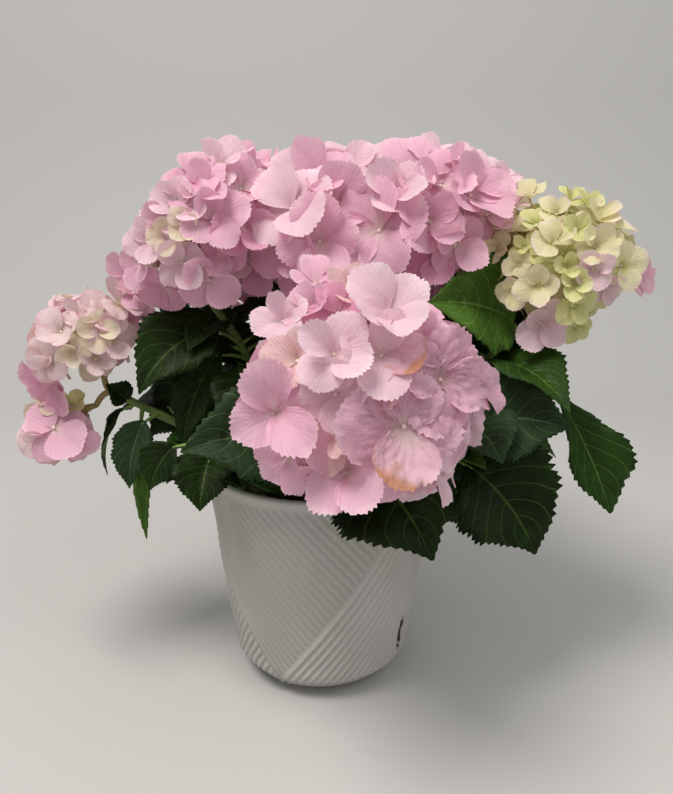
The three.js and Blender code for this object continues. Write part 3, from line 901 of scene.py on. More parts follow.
# The leaves are joined into these pieces, each from its shoots
LEAF_PARTS = {
    "left": ("upper_left", "left", "left_low"),
    "middle": ("front", "top"),
    "right": ("right", "right_low"),
    "back": ("back_left", "back_right", "back_low"),
}


class Tint(Enum):
    """The tint of a floret."""

    BLUSH = 0
    ROSE = 1
    DEEP_ROSE = 2
    PEACH = 3
    CREAM = 4
    GREEN = 5
    SCORCHED = 6
    CREAM_PINK = 7
    LEMON = 8


@dataclass(frozen=True)
class FloretPlan:
    """A floret that the front view shows.

    Attributes:
        right: How far right of its cluster's middle it stands.
        up: How far above the middle.
        width: Its width.
        tint: Its tint.
        cup: How far its sepals rise round the eye.
        lift: How much it faces up.
        forward: How far it stands out past the cluster's ball.
        spin: Degrees that it is turned about its eye.
        crease: How deep its sepals are puckered.
        aside: How much it faces to the right.
        stained: The number of its stained sepal, or None.
    """

    right: float
    up: float
    width: float
    tint: Tint
    cup: float
    lift: float = 0.0
    forward: float = 0.0
    spin: float = 20.0
    crease: float = 0.3
    aside: float = 0.0
    stained: int | None = None


def florets(*rows: tuple) -> tuple[FloretPlan, ...]:
    """Plans the florets that show in a cluster.

    Args:
        rows: Their values, in the order of the fields of FloretPlan.

    Returns:
        The florets' plans.
    """
    return tuple(FloretPlan(*row) for row in rows)


@dataclass(frozen=True)
class ClusterPlan:
    """A ball of florets.

    Attributes:
        radii: Its reach along X, Y and Z.
        axis: Azimuth and elevation of the middle of its spread florets.
        spread: Degrees from that axis to the last of them.
        width: Their usual width.
        middle: The middle that the shown florets are placed from, or None where it is the centre.
        flats: Where the ball is flatter as seen from the front: degrees up from the right, and reach.
        loose: How unevenly the shown florets face.
    """

    centre: tuple[float, float, float]
    radii: tuple[float, float, float]
    axis: tuple[float, float]
    spread: float
    width: float
    shown: tuple[FloretPlan, ...] = ()
    middle: tuple[float, float, float] | None = None
    flats: tuple[tuple[float, float], ...] = ()
    loose: float = 0.4


@dataclass(frozen=True)
class HeadPlan:
    """A flower head on the shoot of the same name, with the tints that its unseen florets are dealt."""

    name: str
    tints: tuple[Tint, ...]
    clusters: tuple[ClusterPlan, ...]


BLUSH, ROSE, DEEP_ROSE, PEACH, CREAM, GREEN, SCORCHED, CREAM_PINK, LEMON = Tint
PINKS = (BLUSH, ROSE, ROSE, BLUSH, ROSE)
DEEP_PINKS = (BLUSH, ROSE, ROSE, DEEP_ROSE)
# The florets that show in front, cluster by cluster
FRONT_FLORETS = florets(
    (10, 49, 50, BLUSH, 0.55, 0.15, 6, 38, 0.5, -0.05),
    (7, 31, 48, BLUSH, 0.55, 0.25, -3, -10, 0.4, 0, 0),
    (-15, 33, 44, BLUSH, 0.5, 0.15, 6, 60, 0.4, 0.15),
    (-40, 42, 34, BLUSH, 0.5, 0.1, 0, 30, 0.3, 0.2),
    (-32, 27, 36, PEACH, 0.45, 0, -2, 75, 0.3, -0.2),
    (-14, 15, 38, BLUSH, 0.25, 0, 0, 15, 0.4, 0),
    (5, 16, 34, PEACH, 0.5, 0.2, -4, 50, 0.3, -0.1),
    (17, 1, 61, ROSE, 0.05, 0.05, 4, -8, 1.9, 0, 3),
    (35, 19, 52, ROSE, 0.2, 0.1, 0, 70, 2.6, -0.2),
    (-43, 4, 60, ROSE, 0.65, 0.3, 4, 25, 0.4, 0.7),
    (-17, -8, 40, PEACH, 0.6, 0.1, -4, 80, 0.3, -0.3),
    (-37, -21, 36, ROSE, 0.4, -0.2, -2, 35, 0.4, 0),
    (-9, -25, 52, ROSE, 0.5, 0.7, 0, 47, 0.5, 0),
    (-25, 57, 32, ROSE, 0.5, 0.4, -4, 12, 0.3, 0),
    (-7, 57, 28, PEACH, 0.5, 0.4, -6, 66, 0.3, 0),
    (66, -1, 30, ROSE, 0.3, 0, -4, 22, 0.3, 0),
    (-26, 48, 30, ROSE, 0.5, 0.3, -6, 40, 0.3, 0),
    (-13, 47, 34, DEEP_ROSE, 0.4, 0.2, -10, 30),
    (26, 34, 36, ROSE, 0.4, 0.1, -6, 15, 0.4, 0),
)
TOP_RIGHT_FLORETS = florets(
    (-28, 12, 62, ROSE, 0.3, -0.05, 8, 30),
    (-17, 30, 50, BLUSH, 0.55, 0.2, 2, 60),
    (-43, 34, 56, BLUSH, 0.4, 0.5, 2, 5),
    (26, 31, 52, ROSE, 0.4, 0.1, 4, 20),
    (26, 38, 54, ROSE, 0.3, 0.1, -2, 44),
    (-26, 44, 40, BLUSH, 0.45, 0.2, -6, 15),
    (51, 35, 36, BLUSH, 0.45, 0.1, 0, 70),
    (-8, 43, 50, ROSE, 0.45, 0.2, -2, 12),
    (1, 17, 44, ROSE, 0.4, 0, 0, 52),
    (37, 20, 40, ROSE, 0.35, -0.1, 2, 35),
    (8, 37, 44, ROSE, 0.5, 0.3, 0, 80),
    (42, 43, 44, BLUSH, 0.4, 0.2, -6, 25),
    (9, 47, 46, BLUSH, 0.45, 0.2, -8, 60),
    (57, 25, 28, CREAM, 0.5, 0, 0, 66),
    (5, -2, 40, DEEP_ROSE, 0.3, -0.3, -4, 15),
    (16, 4, 38, ROSE, 0.3, -0.3, 0, 50),
)
TOP_LEFT_FLORETS = florets(
    (3, 0, 58, ROSE, 0.4, 0, 8, 12),
    (-13, 18, 60, BLUSH, 0.5, 0.3, 6, 48),
    (2, 34, 48, ROSE, 0.45, 0.2, -4, 26),
    (-21, -1, 54, ROSE, 0.3, -0.2, 2, 64),
    (-33, 35, 44, ROSE, 0.45, 0.3, 0, 30),
    (12, 20, 48, ROSE, 0.4, 0.1, 0, 75),
    (-17, 34, 44, BLUSH, 0.5, 0.2, -5, 8),
    (20, 40, 46, BLUSH, 0.45, 0.2, -8, 40),
    (-35, 23, 42, ROSE, 0.4, 0.1, 2, 55),
    (-36, -15, 46, DEEP_ROSE, 0.3, -0.3, 0, 20),
    (-9, -17, 36, DEEP_ROSE, 0.3, -0.4, -4, 70),
)
UPPER_LEFT_FLORETS = florets(
    (12, -24, 38, ROSE, 0.12, 0, 6, 45),
    (17, 9, 44, ROSE, 0.4, 0.2, 4, 20),
    (-3, 16, 36, BLUSH, 0.5, 0.1, 0, 70),
    (3, 6, 28, CREAM, 0.7, 0.1, 2, 35),
    (-9, 0, 28, CREAM, 0.6, 0, 0, 10),
    (18, 38, 40, BLUSH, 0.5, 0.4, 0, 55),
    (7, 31, 36, ROSE, 0.45, 0.3, -2, 5),
    (22, 43, 30, BLUSH, 0.55, 0.4, -5, 66),
    (34, 38, 36, ROSE, 0.45, 0.3, -2, 30),
    (32, 5, 44, DEEP_ROSE, 0.35, -0.1, 3, 15),
    (2, 24, 34, ROSE, 0.45, 0.3, -2, 60),
    (-17, -29, 36, DEEP_ROSE, 0.3, -0.3, -2, 25),
    (21, -7, 36, ROSE, 0.35, -0.1, 0, 50),
    (-31, -16, 34, ROSE, 0.35, -0.1, -2, 80),
    (-21, -3, 32, BLUSH, 0.4, 0, 0, 12),
    (-2, -14, 34, BLUSH, 0.4, -0.1, 2, 38),
    (-12, 9, 30, ROSE, 0.4, 0.2, -2, 68),
    (11, 26, 36, ROSE, 0.45, 0.3, 0, 22),
    (30, 26, 40, ROSE, 0.4, 0.2, 0, 74),
    (-42, -24, 34, ROSE, 0.35, -0.1, 8, 40),
)
LEFT_FLORETS = florets(
    (-3, 12, 34, CREAM_PINK, 0.5, 0.3, 2, 40),
    (4, 2, 28, CREAM, 0.7, 0.1, 3, 10),
    (-11, -5, 32, CREAM_PINK, 0.5, -0.1, 2, 62),
    (-15, -21, 44, DEEP_ROSE, 0.3, -0.4, 2, 30),
    (17, 11, 30, CREAM, 0.6, 0.2, 2, 75),
    (17, 19, 32, CREAM_PINK, 0.35, 0.2, 0, 20),
    (32, 19, 28, ROSE, 0.3, 0, -4, 50),
    (25, 6, 34, CREAM_PINK, 0.35, 0, 3, 5),
    (15, -5, 28, CREAM_PINK, 0.4, -0.2, 0, 66),
    (-15, -2, 24, CREAM_PINK, 0.5, 0.1, 0, 25),
    (5, 19, 28, CREAM_PINK, 0.6, 0.4, -2, 45),
    (29, 9, 26, ROSE, 0.35, -0.1, -2, 80),
    (28, 27, 34, CREAM_PINK, 0.35, 0.1, 14, 20),
    (36, 32, 26, ROSE, 0.3, 0, 6, 60),
)
LOW_LEFT_FLORETS = florets(
    (4, 8, 46, ROSE, -0.35, 1.0, 4, 45, 0.5, -0.2),
    (-3, 18, 28, CREAM, 0.6, 0.4, 0, 15),
    (14, -2, 30, ROSE, 0.3, -0.2, -2, 70),
    (-6, -2, 30, CREAM_PINK, 0.3, -0.2, -2, 25),
    (9, 16, 24, GREEN, 0.6, 0.5, -3, 55),
)
RIGHT_FLORETS = florets(
    (-33, -8, 28, LEMON, 0.62, 0.1, 2, 20),
    (-23, -5, 30, LEMON, 0.62, 0.1, 5, 8),
    (-16, 18, 33, LEMON, 0.67, 0.2, 4, 33),
    (-23, 28, 24, GREEN, 0.67, 0.3, 2, 60),
    (-35, 27, 27, LEMON, 0.67, 0.3, 0, 12),
    (-46, 29, 24, LEMON, 0.62, 0.2, 0, 65),
    (-29, 15, 19, GREEN, 0.72, 0.2, 0, 40),
    (-22, 13, 18, GREEN, 0.72, 0.1, 0, 75),
    (-17, -28, 37, BLUSH, 0.52, -0.25, 2, 48),
    (-2, -16, 29, GREEN, 0.62, -0.1, 2, 25),
    (-5, -2, 25, GREEN, 0.67, 0.1, 5, 70),
    (-10, 7, 21, GREEN, 0.67, 0.1, 4, 5),
    (7, 17, 32, LEMON, 0.62, 0.2, 2, 55),
    (6, 5, 30, BLUSH, 0.57, 0.1, 2, 30),
    (25, 6, 32, LEMON, 0.62, 0.1, 0, 15),
    (42, -3, 33, ROSE, 0.47, -0.1, 0, 50),
    (11, 31, 30, LEMON, 0.62, 0.4, 0, 80),
    (15, 18, 26, LEMON, 0.62, 0.2, -2, 22),
    (4, -30, 23, GREEN, 0.62, -0.2, -2, 62),
    (-20, 42, 25, LEMON, 0.67, 0.5, -2, 35),
    (-1, 41, 24, GREEN, 0.72, 0.6, -3, 10),
    (8, 37, 25, GREEN, 0.72, 0.5, -2, 45),
    (11, 28, 27, LEMON, 0.62, 0.4, -2, 68),
    (-29, 37, 25, BLUSH, 0.62, 0.4, -2, 18),
    (-12, 34, 25, LEMON, 0.72, 0.5, 2, 52),
    (-32, 6, 21, LEMON, 0.62, 0, 2, 28),
    (-40, 14, 23, LEMON, 0.62, 0.1, -2, 72),
    (16, -5, 25, BLUSH, 0.52, -0.2, -2, 38),
    (-4, 25, 25, GREEN, 0.72, 0.3, 3, 58),
)
HEADS = (
    HeadPlan("front", PINKS, (
        ClusterPlan((25, -95, 223), (73, 68, 72), (-85, 35), 118, 44, FRONT_FLORETS,
                    middle=(24.6, -95, 229), flats=((-90, 33), (-40, 46))),)),
    HeadPlan("top", PINKS, (
        ClusterPlan((64, 18, 298), (60, 68, 66), (-70, 65), 110, 44, TOP_RIGHT_FLORETS),
        ClusterPlan((-2, 20, 304), (56, 62, 60), (-100, 65), 105, 44, TOP_LEFT_FLORETS))),
    HeadPlan("upper_left", (BLUSH, ROSE, BLUSH, CREAM, PEACH), (
        ClusterPlan((-76, 0, 307), (55, 56, 56), (260, 70), 120, 38, UPPER_LEFT_FLORETS,
                    flats=((142, 17),)),)),
    HeadPlan("left", (BLUSH, CREAM, CREAM_PINK, PEACH), (
        ClusterPlan((-153, -10, 238), (37, 34, 34), (190, 65), 100, 28, LEFT_FLORETS,
                    flats=((150, 21),), loose=0.9),
        ClusterPlan((-172, -14, 180), (25, 25, 22), (200, -25), 100, 28, LOW_LEFT_FLORETS,
                    flats=((220, 12),), loose=0.5))),
    HeadPlan("right", (LEMON, GREEN, LEMON, GREEN, LEMON), (
        ClusterPlan((150, -10, 285), (53, 52, 52), (-30, 50), 116, 28, RIGHT_FLORETS,
                    flats=((-60, 20), (50, 43)), loose=0.9),)),
    HeadPlan("back_left", DEEP_PINKS, (
        ClusterPlan((-60, 100, 284), (61, 60, 58), (110, 55), 135, 42),)),
    HeadPlan("back_right", DEEP_PINKS, (
        ClusterPlan((78, 116, 262), (60, 58, 56), (55, 50), 135, 42),)),
)


# The pot and its mix


@dataclass
class Pot:
    """The tapered pot with its wrapped, ribbed wall.

    Turns are degrees round from the front to the right. A wrap of ribs and a band of fainter ribs meet at
    two seams, which rise from near the foot to the right and to the left.

    Attributes:
        foot_round: The radius of the rounded edge of its foot.
        inner_foot: The height at which the inner wall turns in to the floor.
        rib_depth: From the wrap's grooves to its crests.
        wrap_sunk: How deep the wrap's grooves lie, as a share of the rib depth.
        band_sunk: How deep the band's grooves lie, as a share of the rib depth.
        band_rib: How high the band's strongest ribs are, as a share of the rib depth.
        band_reach: How far from a seam the band's ribs stay strong.
        count_radius: The radius at which the ribs are counted.
        repeat: Degrees after which the pattern comes again.
        seam_foot: The height at which the seams start.
        right_seam: The right seam's turn there, and its change with each millimetre and its square.
        left_seam: The same of the left seam.
        right_slant: What a step round the pot counts for across the ribs of the right seam.
        left_slant: The same of the left seam.
        slot_half: Half the length of the slot under the wrap's edge.
        slot_width: Degrees that it is wide.
        calm_width: Degrees round it that have no ribs.
        slot_shade_from: The share of its depth from which the wall gets the dark finish of painted shade.
    """

    height: float = 156 * MM
    rim_radius: float = 80 * MM
    base_radius: float = 60 * MM
    foot_round: float = 27 * MM
    wall: float = 5 * MM
    floor: float = 8 * MM
    inner_foot: float = 22 * MM
    turns: int = 480
    rows: int = 124
    rib_pitch: float = 4.9 * MM
    rib_depth: float = 1.9 * MM
    wrap_sunk: float = 0.5
    band_sunk: float = 0.75
    band_rib: float = 0.65
    band_reach: float = 14 * MM
    count_radius: float = 70 * MM
    repeat: float = 180
    seam_foot: float = 15 * MM
    right_seam: tuple[float, float, float] = (-27, 0.66, -0.0009)
    left_seam: tuple[float, float, float] = (-28, -0.62, 0)
    right_slant: float = 0.762
    left_slant: float = 0.797
    slot_turn: float = 58.5
    slot_height: float = 36 * MM
    slot_half: float = 15 * MM
    slot_width: float = 4.8
    calm_width: float = 11
    slot_depth: float = 3.6 * MM
    slot_shade_from: float = 0.02

    def outer(self, height: float | np.ndarray) -> float | np.ndarray:
        """The outer radius at a height or heights, without the foot's round."""
        return self.base_radius + (self.rim_radius - self.base_radius) * height / self.height

    def face(self, height: np.ndarray) -> np.ndarray:
        """The radius of the wall and its rounded foot.

        Args:
            height: Heights in metres.

        Returns:
            The radii in metres.
        """
        below = np.clip(self.foot_round - height, 0, self.foot_round)
        inset = self.foot_round - np.sqrt(self.foot_round ** 2 - below ** 2)
        return self.outer(np.maximum(height, self.foot_round)) - inset

    def profile(self) -> list[tuple[float, float]]:
        """The wall's outline, from the underside's middle to the floor's middle.

        Returns:
            Radii and heights in metres.
        """
        bend, lip = self.foot_round, self.wall / 2
        start = self.outer(bend) - bend
        foot = [(start + bend * math.sin(math.radians(turn)), bend * (1 - math.cos(math.radians(turn))))
                for turn in range(0, 90, 3)]
        side = [(self.outer(height), height) for height in np.linspace(bend, self.height - lip, self.rows)]
        # The lip is a half round that starts a little way in, so that it has no crack with the wall
        top = [(self.rim_radius - lip + lip * math.cos(turn), self.height - lip + lip * math.sin(turn))
               for turn in np.linspace(0.35, math.pi - 0.2, 7)]
        inner = [(self.outer(height) - self.wall, height)
                 for height in np.linspace(self.height - lip, self.inner_foot, 6)]
        bottom = self.outer(self.inner_foot) - self.wall - bend / 2
        return [(0, 0), (bottom / 2, 0), *foot, *side, *top, *inner, (bottom, self.floor),
                (bottom / 2, self.floor), (0, self.floor)]

    def ribs(self, turn: np.ndarray, height: np.ndarray) -> np.ndarray:
        """The wrapped ribs, which rise slowly and fall fast, and the fainter even ones of the band.

        Args:
            turn: Turns of places on the wall.
            height: Their heights in metres.

        Returns:
            How far they stand out from the wall, as a share of the rib depth.
        """
        rise = height / MM - self.seam_foot / MM
        right_seam, left_seam = (np.polyval(seam[::-1], rise) for seam in (self.right_seam, self.left_seam))
        metre_a_degree = math.radians(1) * self.count_radius
        past_right = (turn - right_seam) % self.repeat
        past_left = (turn - left_seam) % self.repeat
        band_width = (right_seam - left_seam) % self.repeat

        def pleat(distance: np.ndarray, share: float) -> np.ndarray:
            """Folds from 0 to 1 that rise over a share of each step and fall over the rest of it."""
            step = (distance * metre_a_degree / self.rib_pitch) % 1
            return np.where(step < share, step / share, (1 - step) / (1 - share))

        # The band's ribs fade away from the seams, and less so nearer the rim
        from_edge = np.minimum(past_left, band_width - past_left) * metre_a_degree
        high = np.clip(rise / 110, 0, 1)
        strength = np.clip(0.18 + 0.6 * high + 0.9 * np.exp(-from_edge / self.band_reach), 0, 1)
        band = pleat(past_left * self.left_slant, 0.5) * self.band_rib * strength - self.band_sunk
        wrap = pleat(past_right * self.right_slant, 0.78) - self.wrap_sunk
        return np.where(past_left < band_width, band, wrap)

    def slot(self, turn: np.ndarray, height: np.ndarray, width: float) -> np.ndarray:
        """How far places lie in the narrow slot under the wrap's edge, or near it.

        Args:
            turn: Turns of places on the wall.
            height: Their heights in metres.
            width: Degrees that are reckoned to it at its middle.

        Returns:
            Shares from 0 to 1.
        """
        span = np.sqrt(np.clip(1 - ((height - self.slot_height) / self.slot_half) ** 2, 0, 1))
        return np.clip(width * span - 2 * np.abs(turn - self.slot_turn), 0, 1)

    def relief(self, turn: np.ndarray, height: np.ndarray) -> np.ndarray:
        """How far the ribs stand out and the slot lies in. Foot and rim are plain.

        Args:
            turn: Turns of places on the wall.
            height: Their heights in metres.

        Returns:
            The relief in metres.
        """
        above_foot = np.clip(height / (2 * MM), 0, 1)
        below_rim = np.clip((self.height - 4 * MM - height) / (5 * MM), 0, 1)
        calm = self.slot(turn, height, self.calm_width)
        ribs = self.ribs(turn, height) * above_foot * below_rim * (1 - calm)
        return self.rib_depth * ribs - self.slot_depth * self.slot(turn, height, self.slot_width)

    def build(self, glaze: MattCeramic, slot_shade: MattCeramic) -> None:
        """Spins the wall, presses the ribs into it and glazes it.

        Args:
            glaze: The finish.
            slot_shade: The darker finish inside the slot, which is painted shade.
        """
        shape = spun(self.profile(), self.turns)
        places = np.array([tuple(vert.co) for vert in shape.verts])
        x, y, z = places.T
        radius = np.hypot(x, y)
        # Only the outer wall has relief, not the underside, the lip or the inside
        is_outer = (radius > self.face(z) - 1.5 * MM) & (z > 0.01 * MM) & (z < self.height - 1 * MM)
        relief = np.where(is_outer, self.relief(np.degrees(np.arctan2(x, -y)), z), 0)
        push = 1 + relief / np.maximum(radius, 1e-6)
        for vert, place, share in zip(shape.verts, places, push):
            vert.co = (place[0] * share, place[1] * share, place[2])
        mesh = smooth_mesh(shape, "ribbed_pot")
        # The glaze reads 0 in the deepest grooves and 1 on the crests and wherever the wall is plain, and
        # paints shade into the grooves by it
        span = self.band_sunk + 1 - self.wrap_sunk
        share = np.where(is_outer, np.clip((relief / self.rib_depth + self.band_sunk) / span, 0, 1), 1)
        mesh.attributes.new("relief", "FLOAT", "POINT").data.foreach_set("value", share.astype(np.float32))
        middles = np.zeros(3 * len(mesh.polygons))
        mesh.polygons.foreach_get("center", middles)
        x, y, z = middles.reshape(-1, 3).T
        # The faces deep in the slot get a dark finish as painted shade
        is_slot_shade = self.slot(np.degrees(np.arctan2(x, -y)), z, self.slot_width) > self.slot_shade_from
        is_slot_shade &= np.hypot(x, y) > self.outer(z) - self.wall + 0.3 * MM
        mesh.polygons.foreach_set("material_index", is_slot_shade.astype(np.int32))
        settle(mesh, [glaze.make(), slot_shade.make()], ["pot"])


@dataclass
class PottingMix:
    """The mix in the pot, uneven on top, with loose crumbs on it.

    Attributes:
        shoulder: Radius and height of the corner over its slanting foot.
        hills: Height of its broad unevenness, and how many hills come to a metre.
        lumps: The same of its fine unevenness.
    """

    top: float = 136 * MM
    bottom: float = 8.3 * MM
    radius: float = 71.5 * MM
    foot_radius: float = 43.7 * MM
    shoulder: tuple[float, float] = (57.2 * MM, 22 * MM)
    rings: int = 26
    turns: int = 72
    hills: tuple[float, float] = (2.2 * MM, 110)
    lumps: tuple[float, float] = (1.2 * MM, 380)
    crumbs: int = 420

    def build(self, peat: PeatMix) -> None:
        """Spins the body of the mix, roughens its top and scatters crumbs.

        Args:
            peat: The finish.
        """
        outline = [(0, self.bottom), (self.foot_radius, self.bottom), self.shoulder]
        outline += [(radius, self.top) for radius in np.linspace(self.radius, 0, self.rings)]
        shape = spun(outline, self.turns)
        for vert in shape.verts:
            if vert.co.z > self.top - 1 * MM and vert.co.xy.length < self.radius - 1 * MM:
                vert.co.z += sum(height * noise.noise(vert.co * pace) for height, pace in (
                    self.hills, self.lumps))
        for number in range(self.crumbs):
            spread = (self.radius - 4 * MM) * math.sqrt(chance(number + 11))
            turn = math.tau * chance(number + 511)
            size = (0.8 + 1.6 * chance(number + 911)) * MM
            made = bmesh.ops.create_icosphere(shape, subdivisions=1, radius=size)["verts"]
            bmesh.ops.scale(shape, verts=made, vec=(1, 0.8, 0.6))
            bmesh.ops.translate(shape, verts=made, vec=(
                spread * math.cos(turn), spread * math.sin(turn), self.top + 0.4 * MM))
        settle(smooth_mesh(shape, "potting_mix"), [peat.make()], ["soil"])


# Canes, stems and leaves


@dataclass
class Canes:
    """The canes between the mix and the leafy shoots. A small share of each line stays open between them."""

    radius: float = 3.6 * MM
    tip_radius: float = 2.3 * MM
    flare: float = 1.5
    joint: float = 0.55 * MM
    open_share: float = 0.002

    def thickness(self, share: float | np.ndarray) -> float | np.ndarray:
        """The plain radius at a share or shares of the whole line."""
        return self.radius + (self.tip_radius - self.radius) * share

    def girth(self, plan: ShootPlan, number: int, share: np.ndarray, turn: np.ndarray) -> np.ndarray:
        """A cane's radius, with a flared foot, a swollen joint and fine ridges.

        Args:
            plan: Its shoot's plan.
            number: Its shoot's number.
            share: Shares of the cane.
            turn: Turns round it, in radians.

        Returns:
            The radii in metres.
        """
        body = self.thickness(share * plan.cane) * (1 + (self.flare - 1) * (1 - share) ** 6)
        joint = self.joint * np.exp(-((share - 0.55) / 0.05) ** 2)
        ridges = 0.09 * MM * np.sin(turn * 6 + number) + 0.08 * MM * np.sin(share * 41 + turn * 2)
        return body + joint + ridges

    def build(self, rind: GreenRind) -> None:
        """Builds all the canes.

        Args:
            rind: The finish.
        """
        form = Form.rod(18, 34)
        piece = Joined("canes", [rind.make()])
        for number, plan in enumerate(SHOOTS):
            cane = plan.line().part(0, plan.cane - self.open_share)
            corners = cane.wrap(form, partial(self.girth, plan, number))
            # The cane leans, but its foot is cut level
            corners[:, 2] = np.maximum(corners[:, 2], cane.foot[2])
            piece.put(form, corners)
        piece.finish("cane", [f"cane_{plan.name}" for plan in SHOOTS])


@dataclass(frozen=True)
class Midrib:
    """The midrib of a blade, an even arc from its base to its tip.

    Attributes:
        base: Where the blade starts, in metres.
        tip: Where it ends, in metres.
        arch: Degrees that it bends down in all.
        turn: The share by which its upper side turns to the viewer.
    """

    base: np.ndarray
    tip: np.ndarray
    arch: float
    turn: float

    def at(self, share: np.ndarray) -> tuple[np.ndarray, np.ndarray, np.ndarray]:
        """The blade's frame at shares of the midrib.

        Args:
            share: The shares.

        Returns:
            Rows of middles, of directions to the blade's left and of normals of its upper side.
        """
        chord = self.tip - self.base
        reach = np.linalg.norm(chord)
        heading, pitch = math.atan2(chord[1], chord[0]), math.asin(chord[2] / reach)
        bend = math.radians(self.arch)
        radius = reach / 2 / math.sin(bend / 2)
        ahead = np.array((math.cos(heading), math.sin(heading), 0))
        level = np.array((-math.sin(heading), math.cos(heading), 0))
        faced = VIEWER @ UP * math.cos(pitch) - VIEWER @ ahead * math.sin(pitch)
        roll = self.turn * math.atan2(-VIEWER @ level, faced)
        start = pitch + bend / 2
        slope = start - bend * share
        forward, rise = radius * (math.sin(start) - np.sin(slope)), radius * (np.cos(slope) - math.cos(start))
        flat = np.cos(slope)[:, None] * UP - np.sin(slope)[:, None] * ahead
        left = level * math.cos(roll) + flat * math.sin(roll)
        normal = flat * math.cos(roll) - level * math.sin(roll)
        return self.base + forward[:, None] * ahead + rise[:, None] * UP, left, normal


@dataclass(frozen=True)
class BladeShell:
    """A unit blade: a closed shell, and whether each of its faces is of its upper side or rim."""

    form: Form
    is_upper: np.ndarray

    @classmethod
    def make(cls, along: int, wide: int) -> "BladeShell":
        """Makes the shell and tells its faces apart.

        Args:
            along: Faces along it.
            wide: Faces across it.

        Returns:
            The blade.
        """
        form = Form.sheet(along, wide, is_closed=True)
        starts = np.concatenate(((0,), np.cumsum(form.sizes)))
        heights = form.corners[form.loops][:, 2]
        middles = np.array([heights[first:last].mean() for first, last in zip(starts, starts[1:])])
        return cls(form, middles > -0.75)


